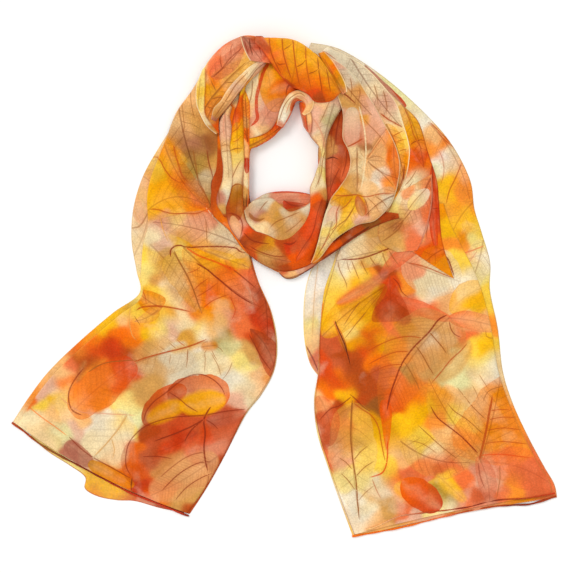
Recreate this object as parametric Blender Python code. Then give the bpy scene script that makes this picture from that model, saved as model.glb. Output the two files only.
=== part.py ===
"""Chiffon scarf, laid flat on a table and wrapped once round, as for a neck.

One panel of chiffon, 1.60 m by 0.50 m, is gathered lengthwise into about three
layers. It runs from the left end up the left side, over the top of the loop, down
the right side of the neck opening, round its front, up its left side, under the
wrap, and down the right side to the other end. Each stretch that shows is a solid
with a flat or resting underside, and lies on the stretches below it.

Blender units are metres, +Z is up and the table is z = 0. Tables are in millimetres.
"""

import math
from collections import namedtuple

import bmesh
import bpy
from mathutils import Vector
from mathutils.bvhtree import BVHTree

MM = 0.001

# Cloth
WALL = 1.5           # least thickness of a stretch, a few plies of chiffon
PLY = 1.2            # a single folded edge that peeks out below a tail
SEAM_GAP = 0.3       # clearance between neighbouring stretches
HEM_WIDTH = 2.6      # rolled hem along each end of the scarf
HEM_HEIGHT = 2.2
FOLD_LIP = 9.0       # run-out of a fold on its steep side

# The rolled hem's section, as fractions of its width and height
HEM_PROFILE = ((0, 0), (0, 0.6), (0.3, 1), (0.7, 1), (1, 0.6), (1, 0))

# Mesh fineness
TAIL_STEP = 13.0     # spacing of the sections along a tail
LOOP_STEP = 7.0      # spacing along the stretches round the neck opening
ROLL_STEP = 5.0
TAIL_COLUMNS = 14
LOOP_COLUMNS = 10
ROLL_COLUMNS = 6
PLY_COLUMNS = 3
HEM_SEGMENTS = 16
TABLE = 0.0

# A section across a stretch: its two edges in plan, how far its middle bows along
# the stretch, and the height of the cloth's top at the left edge, middle and right.
Section = namedtuple(
    "Section", "left_x left_y right_x right_y bow left_z crown_z right_z"
)

# A lengthwise fold: where it starts and ends along the stretch and across it, as
# fractions, its rise, and how far it fades. A negative fade falls off to the left.
Fold = namedtuple("Fold", "start end start_across end_across rise fade")

# A round hollow, such as the pouch in the front of the loop, in plan.
Hollow = namedtuple("Hollow", "x y half_length half_width depth")

LEFT_UNDERLAYER = (
    Section(-232, -138, -263, -154, 0, PLY, PLY, PLY),
    Section(-216, -158, -244, -170, 0, PLY, PLY, PLY),
    Section(-196, -168, -224, -183, 0, PLY, PLY, PLY),
    Section(-185, -174, -207, -195, 0, PLY, PLY, PLY),
    Section(-180, -179, -204, -207, 0, PLY, PLY, PLY),
    Section(-175, -184, -193, -217, 0, PLY, PLY, PLY),
    Section(-160, -189, -173, -220, 0, PLY, PLY, PLY),
    Section(-139, -197, -154, -221, 0, PLY, PLY, PLY),
    Section(-113, -208, -129, -228, 0, PLY, PLY, PLY),
    Section(-94, -218, -104, -233, 0, PLY, PLY, PLY),
)

RIGHT_UNDERLAYER = (
    Section(46, 40, 77, 40, 0, PLY, PLY, PLY),
    Section(30, 23, 69, 23, 0, PLY, PLY, PLY),
    Section(22, 2, 67, 2, 0, PLY, PLY, PLY),
    Section(19, -24, 67, -24, 0, PLY, PLY, PLY),
    Section(20, -55, 67, -55, 0, PLY, PLY, PLY),
    Section(26, -80, 69, -80, 0, PLY, PLY, PLY),
    Section(38, -96, 73, -96, 0, PLY, PLY, PLY),
)

# From the left end's hem up to the top of the loop. Left is the outer edge.
LEFT_TAIL = (
    Section(-280, -139, -98, -234, 14, 2.0, 3.0, 2.0),
    Section(-263, -113, -81, -208, 9, 2.0, 5.0, 2.0),
    Section(-242, -86, -62, -174, 4, 2.0, 6.0, 2.0),
    Section(-211, -56, -41, -133, 0, 2.0, 6.5, 2.2),
    Section(-177, -27, -24, -111, 0, 2.2, 7.0, 2.5),
    Section(-150, -7, -11, -86, 0, 2.5, 7.0, 2.5),
    Section(-153, 17, -8, -58, 0, 2.5, 7.5, 2.5),
    Section(-158, 48, -14, -26, 0, 2.5, 8.0, 2.8),
    Section(-156, 81, -28, 7, 0, 2.5, 8.0, 3.5),
    Section(-146, 114, -36, 38, 0, 2.5, 8.0, 4.5),
    Section(-128, 146, -40, 74, 0, 2.8, 8.5, 5.0),
    Section(-108, 177, -44, 115, 0, 3.0, 9.0, 5.0),
    Section(-92, 202, -44, 156, 0, 3.0, 9.5, 6.0),
    Section(-81, 225, -38, 186, 0, 3.5, 10.0, 7.0),
    Section(-65, 247, -28, 209, 0, 4.0, 11.0, 8.0),
    Section(-43, 258, -13, 225, 0, 5.0, 11.0, 9.0),
    Section(-26, 257, -2, 231, 0, 5.0, 10.0, 9.0),
)
LEFT_TAIL_FOLDS = (
    Fold(0.30, 1.00, 0.30, 0.52, 3.6, 26),
    Fold(0.42, 1.00, 0.62, 0.78, 3.6, -22),
    Fold(0.50, 1.00, 0.12, 0.24, 3.0, 14),
    Fold(0.38, 0.62, 0.02, 0.48, 3.4, 18),
    Fold(0.00, 0.38, 0.52, 0.30, 2.4, -40),
    Fold(0.05, 0.45, 0.80, 0.72, 2.2, 30),
)

# From the right end's hem up and under the top of the wrap. Right is the outer edge.
RIGHT_TAIL = (
    Section(70, -258, 280, -217, -5, 2.0, 3.0, 2.0),
    Section(55, -217, 277, -203, -3, 2.0, 5.0, 2.0),
    Section(44, -185, 266, -184, 0, 2.0, 6.0, 2.0),
    Section(33, -150, 249, -152, 0, 2.0, 6.5, 2.0),
    Section(30, -117, 234, -119, 0, 2.2, 7.0, 2.2),
    Section(34, -88, 224, -86, 0, 3.0, 7.0, 2.2),
    Section(36, -45, 219, -43, 0, 3.5, 7.0, 2.5),
    Section(40, -6, 211, -4, 0, 3.5, 7.5, 2.5),
    Section(50, 25, 211, 25, 0, 4.0, 8.0, 2.5),
    Section(57, 50, 202, 57, 0, 4.0, 8.0, 2.5),
    Section(67, 77, 195, 80, 0, 4.5, 8.0, 2.5),
    Section(71, 104, 190, 111, 0, 5.0, 8.5, 2.5),
    Section(69, 130, 169, 150, 0, 5.5, 9.0, 2.8),
    Section(61, 155, 135, 187, 0, 6.0, 9.5, 3.0),
    Section(46, 180, 96, 220, 0, 7.0, 10.0, 3.5),
    Section(28, 200, 57, 244, 0, 8.0, 11.0, 4.0),
    Section(9, 217, 27, 251, 0, 8.0, 11.0, 5.0),
)
RIGHT_TAIL_FOLDS = (
    Fold(0.36, 0.98, 0.80, 0.72, 4.0, 24),
    Fold(0.45, 0.95, 0.45, 0.40, 3.6, 24),
    Fold(0.46, 1.00, 0.64, 0.56, 3.2, 14),
    Fold(0.52, 1.00, 0.30, 0.22, 3.0, -12),
    Fold(0.00, 0.45, 0.55, 0.80, 2.8, 42),
    Fold(0.05, 0.42, 0.22, 0.30, 2.6, -34),
)

# Up the left side of the neck opening. Right is the edge at the opening.
LOOP_LEFT = (
    Section(-24, 235, 20, 209, 0, 12, 14, 10),
    Section(-42, 213, 12, 192, 0, 13, 16, 8),
    Section(-58, 192, 5, 175, 0, 13, 17, 6),
    Section(-67, 171, -4, 162, 0, 12, 17, 5),
    Section(-69, 156, -18, 151, 0, 12, 17, 5),
    Section(-69, 141, -34, 143, 0, 12, 17, 5),
    Section(-70, 122, -37, 122, 0, 12, 17, 5),
    Section(-74, 102, -37, 99, 0, 12, 17, 5),
    Section(-76, 87, -34, 83, 0, 12, 15, 5),
    Section(-73, 71, -24, 68, 0, 10, 12, 5),
)
LOOP_LEFT_FOLDS = (
    Fold(0.10, 1.00, 0.22, 0.34, 3.6, 9),
    Fold(0.20, 1.00, 0.46, 0.66, 3.6, 8),
    Fold(0.00, 0.60, 0.72, 0.88, 3.0, -10),
)

# Round the front of the neck opening. Left is the outer edge.
LOOP_FRONT = (
    Section(-84, 110, -37, 110, 0, 14, 20, 8),
    Section(-82, 92, -38, 93, 0, 13, 22, 9),
    Section(-74, 74, -35, 87, 0, 12, 22, 10),
    Section(-59, 58, -27, 93, 0, 11, 21, 10),
    Section(-42, 39, -16, 98, 0, 9, 20, 9),
    Section(-24, 23, -5, 99, 0, 6, 20, 9),
    Section(-2, 10, 6, 99, 0, 4, 20, 9),
    Section(13, 10, 18, 97, 0, 4, 20, 9),
    Section(34, 23, 27, 95, 0, 7, 21, 9),
    Section(55, 42, 36, 101, 0, 11, 20, 9),
)
LOOP_FRONT_FOLDS = (
    Fold(0.10, 0.95, 0.42, 0.46, 4.0, -12),
    Fold(0.05, 0.60, 0.12, 0.24, 3.4, 9),
    Fold(0.45, 0.95, 0.28, 0.14, 3.4, -10),
)
POUCH = (Hollow(-5, 74, 36, 23, 13.0),)

# Down the right side of the neck opening. Left is the edge at the opening.
LOOP_RIGHT = (
    Section(15, 207, 42, 237, 0, 13, 16, 13),
    Section(19, 188, 62, 226, 0, 12, 18, 14),
    Section(16, 174, 80, 208, 0, 9, 19, 15),
    Section(20, 164, 92, 187, 0, 7, 20, 15),
    Section(29, 155, 102, 167, 0, 6, 21, 15),
    Section(36, 144, 112, 147, 0, 6, 21, 15),
    Section(37, 130, 121, 124, 0, 6, 21, 15),
    Section(32, 113, 118, 106, 0, 7, 22, 15),
    Section(26, 99, 110, 86, 0, 9, 23, 15),
    Section(24, 83, 94, 68, 0, 14, 24, 15),
    Section(23, 64, 73, 60, 0, 18, 24, 16),
    Section(23, 46, 55, 44, 0, 18, 23, 16),
    Section(25, 29, 38, 27, 0, 14, 18, 14),
)
LOOP_RIGHT_FOLDS = (
    Fold(0.05, 0.90, 0.20, 0.34, 4.0, 14),
    Fold(0.10, 0.80, 0.50, 0.56, 3.6, 12),
    Fold(0.25, 1.00, 0.80, 0.72, 3.6, -14),
)

# Over the top of the loop, from the left band to the right side. Left is outside.
NECK_WRAP = (
    Section(-74, 160, -67, 156, 0, 15, 17, 15),
    Section(-89, 185, -61, 188, 0, 13, 19, 18),
    Section(-90, 209, -46, 209, 0, 11, 21, 20),
    Section(-81, 227, -32, 220, 0, 10, 22, 21),
    Section(-65, 247, -21, 230, 0, 10, 22, 20),
    Section(-44, 258, -15, 229, 0, 10, 22, 20),
    Section(-24, 258, -8, 221, 0, 10, 23, 20),
    Section(-5, 258, 1, 210, 0, 10, 25, 20),
    Section(12, 252, 11, 204, 0, 10, 27, 20),
    Section(28, 239, 19, 197, 0, 12, 28, 20),
    Section(43, 225, 25, 188, 0, 16, 28, 20),
    Section(55, 204, 29, 178, 0, 20, 27, 20),
    Section(62, 184, 32, 168, 0, 22, 26, 20),
    Section(65, 168, 38, 158, 0, 22, 24, 21),
)
NECK_WRAP_FOLDS = (
    Fold(0.00, 0.45, 0.60, 0.55, 3.2, 12),
    Fold(0.12, 0.70, 0.26, 0.30, 2.8, 9),
    Fold(0.45, 1.00, 0.62, 0.36, 3.2, -16),
)

# The small roll where the inner edge turns over at the top of the opening.
TWIST_ROLL = (
    Section(-10, 161, 0, 167, 0, 11, 14, 10),
    Section(-6, 176, 5, 178, 0, 13, 17, 11),
    Section(-1, 190, 9, 184, 0, 14, 19, 12),
    Section(7, 199, 11, 186, 0, 15, 20, 12),
    Section(19, 202, 14, 186, 0, 15, 20, 12),
    Section(27, 195, 15, 182, 0, 15, 20, 12),
    Section(29, 184, 15, 174, 0, 14, 19, 11),
    Section(28, 169, 16, 164, 0, 12, 16, 10),
)


def between(before, start, end, after, part):
    """A smooth value between start and end, which also heeds the values beyond them."""
    square = part * part
    cube = square * part
    return 0.5 * (
        2 * start
        + (end - before) * part
        + (2 * before - 5 * start + 4 * end - after) * square
        + (3 * start - before - 3 * end + after) * cube
    )


def section_at(sections, along):
    """The section at a fraction of the way through the table."""
    last = len(sections) - 1
    place = min(max(along, 0.0), 1.0) * last
    index = min(int(place), last - 1)
    near = [sections[min(max(index + step, 0), last)] for step in (-1, 0, 1, 2)]
    return Section(*(between(*values, place - index) for values in zip(*near)))


def middle(section):
    """The middle of a section in plan."""
    return Vector((section.left_x + section.right_x, section.left_y + section.right_y)) / 2


def even_stations(sections, step):
    """Fractions through the table that lie step apart along the stretch's middle."""
    fine = [index / 400 for index in range(401)]
    points = [middle(section_at(sections, along)) for along in fine]
    lengths = [0.0]
    for here, after in zip(points, points[1:]):
        lengths.append(lengths[-1] + (after - here).length)
    count = max(3, round(lengths[-1] / step))
    stations = []
    for index in range(count + 1):
        wanted = lengths[-1] * index / count
        near = min(range(len(fine)), key=lambda k: abs(lengths[k] - wanted))
        stations.append(fine[near])
    return stations


def plan_point(section, across):
    """A point in plan, at a fraction of the way across a section."""
    left = Vector((section.left_x, section.left_y))
    right = Vector((section.right_x, section.right_y))
    chord = right - left
    outward = Vector((chord.y, -chord.x)).normalized()
    return left + chord * across + outward * (section.bow * 4 * across * (1 - across))


def domed_height(section, across):
    """The top of the cloth across a section, rounded down towards both edges."""
    edge = section.left_z + (section.right_z - section.left_z) * across
    dome = 1 - abs(2 * across - 1) ** 3
    return edge + (section.crown_z - edge) * dome


def fold_height(fold, along, across, width):
    """What a fold adds: a soft lip on one side, and a slow fade on the other."""
    if not fold.start <= along <= fold.end:
        return 0.0
    part = (along - fold.start) / (fold.end - fold.start)
    line = fold.start_across + (fold.end_across - fold.start_across) * part
    offset = (across - line) * width * math.copysign(1, fold.fade)
    swell = min(1.0, 4 * part + 0.2, 4 * (1 - part) + 0.2)
    if offset < 0:
        rest = max(0.0, 1 + offset / FOLD_LIP)
        return fold.rise * swell * rest * rest * (3 - 2 * rest)
    return fold.rise * swell * math.exp(-((offset / fold.fade) ** 2))


def hollow_depth(hollow, place):
    """How far a hollow lowers the cloth at a point in plan."""
    x = (place.x - hollow.x) / hollow.half_length
    y = (place.y - hollow.y) / hollow.half_width
    reach = x * x + y * y
    return hollow.depth * (1 - reach) ** 2 if reach < 1 else 0.0


def height_below(trees, place, reach):
    """The height a stretch rests at: on what lies within reach, or on the table."""
    offsets = [Vector((0, 0))]
    for ring in (0.5, 1.0):
        for turn in range(12):
            angle = math.tau * turn / 12
            offsets.append(Vector((math.cos(angle), math.sin(angle))) * reach * ring)
    highest = TABLE
    for offset in offsets:
        spot = (place + offset) * MM
        for tree in trees:
            hit = tree.ray_cast(Vector((spot.x, spot.y, 1.0)), Vector((0, 0, -1)))[0]
            if hit is not None:
                highest = max(highest, hit.z / MM + SEAM_GAP)
    return highest


def cloth_material(name, colour):
    """Matte dyed chiffon in one of the scarf's colours."""
    material = bpy.data.materials.new(name)
    material.use_nodes = True
    shader = material.node_tree.nodes["Principled BSDF"]
    shader.inputs["Base Color"].default_value = (*colour, 1.0)
    shader.inputs["Roughness"].default_value = 0.7
    shader.inputs["Metallic"].default_value = 0.0
    material.diffuse_color = (*colour, 1.0)
    return material


def surface_tree(piece):
    """A search tree of a finished piece, for what is laid on it."""
    mesh = piece.data
    points = [vertex.co.copy() for vertex in mesh.vertices]
    faces = [tuple(face.vertices) for face in mesh.polygons]
    return BVHTree.FromPolygons(points, faces)


def finish_piece(name, mesh_data, colour):
    """Turns a closed mesh into a named object with its own material."""
    bmesh.ops.recalc_face_normals(mesh_data, faces=mesh_data.faces)
    mesh = bpy.data.meshes.new(name)
    mesh_data.to_mesh(mesh)
    mesh_data.free()
    mesh.shade_smooth()
    mesh.set_sharp_from_angle(angle=math.radians(50))
    piece = bpy.data.objects.new(name, mesh)
    bpy.context.collection.objects.link(piece)
    mesh.materials.append(cloth_material(name + "_chiffon", colour))
    return piece


def lay_stretch(name, sections, colour, step, columns, folds=(), hollows=(), under=()):
    """One stretch of the scarf: a grid shaped as its top, extruded to its underside."""
    trees = [surface_tree(piece) for piece in under]
    stations = even_stations(sections, step)
    rows = len(stations) - 1
    grid = bmesh.new()
    underside = grid.verts.layers.float.new("underside")
    bmesh.ops.create_grid(grid, x_segments=columns, y_segments=rows, size=1.0)
    for vertex in grid.verts:
        across = (vertex.co.x + 1) / 2
        along = stations[round((vertex.co.y + 1) / 2 * rows)]
        section = section_at(sections, along)
        place = plan_point(section, across)
        width = math.hypot(
            section.right_x - section.left_x, section.right_y - section.left_y
        )
        reach = max(step, width / columns) * 1.15
        rest = height_below(trees, place, reach) if trees else TABLE
        top = domed_height(section, across)
        top += sum(fold_height(fold, along, across, width) for fold in folds)
        top -= sum(hollow_depth(hollow, place) for hollow in hollows)
        wall = min(WALL, section.crown_z)
        top = max(top, rest + wall)
        vertex.co = Vector((place.x * MM, place.y * MM, top * MM))
        vertex[underside] = rest * MM
    top_faces = list(grid.faces)
    extruded = bmesh.ops.extrude_face_region(grid, geom=top_faces, use_keep_orig=True)
    for item in extruded["geom"]:
        if isinstance(item, bmesh.types.BMVert):
            item.co.z = item[underside]
    return finish_piece(name, grid, colour)


def roll_hem(name, end_section, colour, under):
    """The rolled hem along one end, a round-backed roll just outside the cloth's edge."""
    steps = range(HEM_SEGMENTS + 1)
    outline = [plan_point(end_section, index / HEM_SEGMENTS) for index in steps]
    trees = [surface_tree(piece) for piece in under]
    roll = bmesh.new()
    rings = []
    for index in steps:
        ahead = outline[min(index + 1, HEM_SEGMENTS)] - outline[max(index - 1, 0)]
        outward = Vector((ahead.y, -ahead.x)).normalized()
        near = outline[index] + outward * SEAM_GAP
        rest = height_below(trees, near + outward * HEM_WIDTH / 2, TAIL_STEP)
        ring = []
        for side, height in HEM_PROFILE:
            spot = near + outward * HEM_WIDTH * side
            level = rest + HEM_HEIGHT * height
            ring.append(roll.verts.new((spot.x * MM, spot.y * MM, level * MM)))
        rings.append(ring)
    for here, after in zip(rings, rings[1:]):
        for index in range(len(here)):
            turn = (index + 1) % len(here)
            roll.faces.new((here[index], here[turn], after[turn], after[index]))
    roll.faces.new(rings[0])
    roll.faces.new(rings[-1][::-1])
    return finish_piece(name, roll, colour)


for leftover in list(bpy.data.objects):
    bpy.data.objects.remove(leftover)

CREAM = (0.86, 0.72, 0.52)
PALE = (0.82, 0.76, 0.62)
YELLOW = (0.90, 0.55, 0.10)
ORANGE = (0.86, 0.30, 0.05)
RUST = (0.62, 0.13, 0.04)
PINK = (0.84, 0.48, 0.38)
DARK_RED = (0.32, 0.04, 0.02)

left_underlayer = lay_stretch(
    "left_underlayer", LEFT_UNDERLAYER, YELLOW, TAIL_STEP, PLY_COLUMNS
)
right_underlayer = lay_stretch(
    "right_underlayer", RIGHT_UNDERLAYER, PALE, TAIL_STEP, PLY_COLUMNS
)
left_tail = lay_stretch(
    "left_tail", LEFT_TAIL, ORANGE, TAIL_STEP, TAIL_COLUMNS,
    folds=LEFT_TAIL_FOLDS, under=(left_underlayer,),
)
right_tail = lay_stretch(
    "right_tail", RIGHT_TAIL, YELLOW, TAIL_STEP, TAIL_COLUMNS,
    folds=RIGHT_TAIL_FOLDS, under=(right_underlayer,),
)
left_hem = roll_hem("left_hem", LEFT_TAIL[0], DARK_RED, (left_underlayer,))
right_hem = roll_hem("right_hem", RIGHT_TAIL[0], DARK_RED, (right_underlayer,))
loop_left = lay_stretch(
    "loop_left", LOOP_LEFT, CREAM, LOOP_STEP, LOOP_COLUMNS,
    folds=LOOP_LEFT_FOLDS, under=(left_tail, right_tail),
)
loop_front = lay_stretch(
    "loop_front", LOOP_FRONT, RUST, LOOP_STEP, LOOP_COLUMNS,
    folds=LOOP_FRONT_FOLDS, hollows=POUCH,
    under=(left_tail, right_tail, right_underlayer, loop_left),
)
loop_right = lay_stretch(
    "loop_right", LOOP_RIGHT, PINK, LOOP_STEP, LOOP_COLUMNS,
    folds=LOOP_RIGHT_FOLDS, under=(right_tail, right_underlayer, loop_left, loop_front),
)
twist_roll = lay_stretch(
    "twist_roll", TWIST_ROLL, CREAM, ROLL_STEP, ROLL_COLUMNS,
    under=(right_tail, loop_left, loop_right),
)
neck_wrap = lay_stretch(
    "neck_wrap", NECK_WRAP, ORANGE, LOOP_STEP, LOOP_COLUMNS,
    folds=NECK_WRAP_FOLDS,
    under=(left_tail, right_tail, loop_left, loop_right, twist_roll),
)
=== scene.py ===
"""Chiffon scarf, laid flat and wrapped once round: its plies, leaf print and hems.

The scarf is one panel of sheer chiffon, gathered into soft plies. Each ply that shows
is a sheet of its own here, laid in turn on what is already down, from the two ends up
to the wrap, and printed all over with leaves in warm dyes. The tables are in
millimetres, in the frame's own axes, with the table top at z = 0.
"""

import math

import bpy
import numpy as np
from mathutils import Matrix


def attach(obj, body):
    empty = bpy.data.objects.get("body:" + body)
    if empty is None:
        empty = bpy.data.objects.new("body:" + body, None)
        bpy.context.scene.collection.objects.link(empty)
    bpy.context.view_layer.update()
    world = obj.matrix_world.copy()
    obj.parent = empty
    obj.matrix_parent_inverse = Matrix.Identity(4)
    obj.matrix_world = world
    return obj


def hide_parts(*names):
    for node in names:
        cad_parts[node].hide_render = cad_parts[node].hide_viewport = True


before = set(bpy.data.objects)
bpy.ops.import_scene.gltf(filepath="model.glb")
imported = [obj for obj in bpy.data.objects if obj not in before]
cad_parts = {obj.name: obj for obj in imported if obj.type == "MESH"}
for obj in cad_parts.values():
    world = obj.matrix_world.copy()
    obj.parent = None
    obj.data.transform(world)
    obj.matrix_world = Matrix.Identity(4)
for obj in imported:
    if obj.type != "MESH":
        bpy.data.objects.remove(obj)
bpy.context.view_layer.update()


# Camera: straight above the table, where the laid scarf nearly fills the view. It is
# a long lens, so that the loop, which stands highest, is hardly enlarged.
CAMERA_HEIGHT = 1.393
CAMERA_X = 0.0015
LENS = 85.0
SENSOR = 36.0

camera_data = bpy.data.cameras.new("camera")
camera_data.lens = LENS
camera_data.sensor_width = SENSOR
camera = bpy.data.objects.new("camera", camera_data)
camera.location = (CAMERA_X, 0.0, CAMERA_HEIGHT)
bpy.context.collection.objects.link(camera)
bpy.context.scene.camera = camera
bpy.context.scene.view_settings.view_transform = "Standard"


# Studio: an even white surround with one broad, soft lamp from the upper left, and a
# wide white table top, so that the sheer plies glow and their folds shade a little.
SURROUND = 0.86
SURROUND_COLOUR = (1.0, 0.995, 0.98, 1.0)
LAMP_POWER = 1.12
LAMP_SPREAD = math.radians(22)
LAMP_TILT = (math.radians(-30), math.radians(-28), 0.0)
TABLE_HALF = 3.0
TABLE_COLOUR = (0.97, 0.965, 0.955, 1.0)

world = bpy.data.worlds.new("surround")
world.use_nodes = True
backdrop = world.node_tree.nodes["Background"]
backdrop.inputs["Color"].default_value = SURROUND_COLOUR
backdrop.inputs["Strength"].default_value = SURROUND
bpy.context.scene.world = world

lamp_data = bpy.data.lights.new("lamp", "SUN")
lamp_data.energy = LAMP_POWER
lamp_data.angle = LAMP_SPREAD
lamp = bpy.data.objects.new("lamp", lamp_data)
lamp.rotation_euler = LAMP_TILT
bpy.context.collection.objects.link(lamp)

bpy.ops.object.select_all(action="DESELECT")
bpy.ops.mesh.primitive_plane_add(size=2 * TABLE_HALF)
table_top = bpy.context.object
table_top.name = "table_top"
table_paint = bpy.data.materials.new("white_table")
table_paint.use_nodes = True
paint = table_paint.node_tree.nodes["Principled BSDF"]
paint.inputs["Base Color"].default_value = TABLE_COLOUR
paint.inputs["Roughness"].default_value = 0.9
paint.inputs["Specular IOR Level"].default_value = 0.1
table_top.data.materials.append(table_paint)


# Left under-ply: a corner of the panel that shows past the left hem, one sheer ply of
# yellow chiffon flat on the table. It is the first sheet down, so the dyes, the way a
# ply is laid, and the way it is printed are all set out here.
MM = 0.001
GRID = 1.6             # spacing of a ply's mesh
PLY_GAP = 0.4          # air between a ply's middle and what it lies on
EDGE_GAP = 0.3         # air under its edges
CELL = 2.0             # cells of the map of what is already laid
MAP_HALF = 320.0
SOFTEN = 3             # times what a ply lies on is smoothed before it follows it
CROWN_POWER = 3        # how flat a ply's middle is before it falls to its edges
HOLLOW_POWER = 1.5
CREASE_END = 0.03      # a crease isn't quite gone where it ends
CREASE_FADE = 0.6
SECOND_BEND = (0.3, 3.3)   # a small, quicker bend on a crease's sway
LEAF_LAYERS = 6        # leaves that can lie on each other in one place
LEAF_MARGIN = 1.5      # how far round a leaf faces know of it, more for a wide one
LINE_REACH = 6.0       # how far from a drawn line its dye can show
FAR = 999.0

DYES = {
    "white": "FBF4E8", "pale": "F5E9CE", "cream": "F5DEAC", "grey_cream": "E0CFAE",
    "peach": "F8BE7A", "pink": "EBB292", "rose": "DE8E6C", "salmon": "EA7444",
    "coral": "F5743A", "pale_yellow": "FAE07E", "butter": "FDD046", "yellow": "FDBE12",
    "bright": "F6B400", "gold": "EAA200", "amber": "F09000", "light_orange": "FC922C",
    "orange": "F37208", "deep_orange": "E85A04", "red_orange": "DF4A12", "red": "CC3812",
    "rust": "B64814", "maroon": "8A2C14", "brown": "9A5822", "dark": "5A2212",
    "tan": "DAA054", "ochre": "D4921A", "olive": "B08A36", "grey_green": "D4C88A",
    "pale_green": "E8E0A0", "mauve": "BC745C", "brick": "CA5A30",
}

# The plies' tables hold plain rows, each kind in this order:
# a section across a ply, in order along it: the left and right edges' x and y, the
#   heights of the left edge, the crown and the right edge, and any bow of its middle;
# washes of dye that run into their neighbours, by dye: x, y and reach of each in turn;
# a leaf: its stem's and its tip's x and y, its half width, how far its midrib is bent,
#   its form, its dyes at stem and tip, how strongly it covers, the spacing of its side
#   veins and how dark they are (above 2 they fan out from the stem instead, and then
#   the spacing is in degrees);
# a crease, a soft ridge or, below nought, a trough: its start's and end's x and y, its
#   sway, width and height;
# drawn lines, for veins and edges, and a few painted fold highlights and shadows: their half
# width, dye, strength, and for each line the x and y of each of its points.
# How a leaf's outline rises from the stem and falls to the tip, and if its edge is soft.
LEAF_FORMS = {
    "oval": (0.50, 0.50, 0), "ovate": (0.45, 0.85, 0), "heart": (0.26, 0.80, 0),
    "spear": (0.70, 0.90, 0), "blunt": (0.32, 0.36, 0), "wedge": (0.90, 0.30, 0),
    "blur": (0.50, 0.50, 1), "drop": (0.75, 0.40, 0), "cut": (1.00, 0.06, 0),
}

# Waves over a ply: each row's height, its length in x and in y, and how far the ply's
# seed turns it. A length may be endless, and one below nought leans the other way.
RIPPLES = ((1.0, 19, 31, 1), (0.7, -27, 13, 2.1), (0.5, 8.5, 8.5, 3.7), (0.35, 6.1, -6.1 / 1.4, 1))
RIPPLE_SCALE = 2.5
WASH_SHIFT_X = ((3.0, math.inf, 9, 1), (2.2, 5.3, 5.3, 0), (1.3, 7, 2.9, 0))
WASH_SHIFT_Y = ((3.0, 10, math.inf, 1.7), (2.2, 5.9, -5.9, 0), (1.3, 3.1, math.inf, 0))
WASH_CRISPNESS = 1.1
WASH_CRISPER = ((0.7, 15, 22, 1),), ((1.0, -30, 12, 0),)

map_cells = int(2 * MAP_HALF / CELL)
laid_height = np.zeros((map_cells, map_cells))


def linear_dye(name):
    """A dye's colour as Blender wants it, from its usual screen value."""
    value = DYES[name]
    screen = [int(value[place:place + 2], 16) / 255 for place in (0, 2, 4)]
    return [((part + 0.055) / 1.055) ** 2.4 for part in screen]


def smooth_curve(table):
    """Many points along a smooth curve through a table's rows."""
    table = np.array(table, float)
    last = len(table) - 1
    fine = np.linspace(0, last, 40 * last + 1)
    index = np.minimum(fine.astype(int), last - 1)
    part = (fine - index)[:, None]
    before, start, end, after = (
        table[np.clip(index + shift, 0, last)] for shift in (-1, 0, 1, 2)
    )
    return 0.5 * (
        2 * start
        + (end - before) * part
        + (2 * before - 5 * start + 4 * end - after) * part**2
        + (3 * start - before - 3 * end + after) * part**3
    )


def even_rows(table):
    """Rows at even steps along a smooth curve through a ply's table of sections."""
    rows = smooth_curve(table)
    moved = np.diff(rows, axis=0)
    steps = np.maximum(np.hypot(moved[:, 0], moved[:, 1]), np.hypot(moved[:, 2], moved[:, 3]))
    run = np.concatenate(([0.0], np.cumsum(steps)))
    wanted = np.linspace(0, run[-1], max(6, round(run[-1] / GRID)) + 1)
    return np.stack([np.interp(wanted, run, column) for column in rows.T], axis=1)


def read_map(heights, plan):
    """What a map of heights holds at points in plan, blended between its cells."""
    place = np.clip((plan + MAP_HALF) / CELL - 0.5, 0, map_cells - 1.001)
    low = place.astype(int)
    part = place - low
    column, row = low[..., 0], low[..., 1]
    along_x, along_y = part[..., 0], part[..., 1]
    return (
        heights[row, column] * (1 - along_x) * (1 - along_y)
        + heights[row, column + 1] * along_x * (1 - along_y)
        + heights[row + 1, column] * (1 - along_x) * along_y
        + heights[row + 1, column + 1] * along_x * along_y
    )


def spread(heights, pick):
    """A grid in which each value is picked from itself and its eight neighbours."""
    wide = np.pad(heights, 1, mode="edge")
    rows, columns = heights.shape
    near = [wide[i:i + rows, j:j + columns] for i in range(3) for j in range(3)]
    return pick(near, axis=0)


def crease_height(crease, plan):
    """What a crease adds at points in plan: full along its middle, fading at its ends."""
    start, end, (sway, width, height) = np.split(np.array(crease, float), (2, 4))
    run = end - start
    length = math.hypot(*run)
    run /= length
    offset = plan - start
    along = (offset @ run) / length
    beside = offset @ np.array((-run[1], run[0]))
    inside = np.clip(along, 0, 1)
    share, times = SECOND_BEND
    beside -= sway * (np.sin(math.pi * inside) + share * np.sin(times * math.pi * inside))
    beyond = np.maximum(np.abs(along - 0.5) - 0.5, 0) * length
    fade = np.sin(math.pi * np.clip(inside, CREASE_END, 1 - CREASE_END)) ** CREASE_FADE
    return height * fade * np.exp(-(beside**2 + beyond**2) / width**2)


def waves(table, plan, seed):
    """Slow waves that cross each other, added up at points in plan."""
    x, y = plan[..., 0], plan[..., 1]
    return sum(
        height * np.sin(x / long_x + y / long_y + turn * seed)
        for height, long_x, long_y, turn in table
    )


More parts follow.
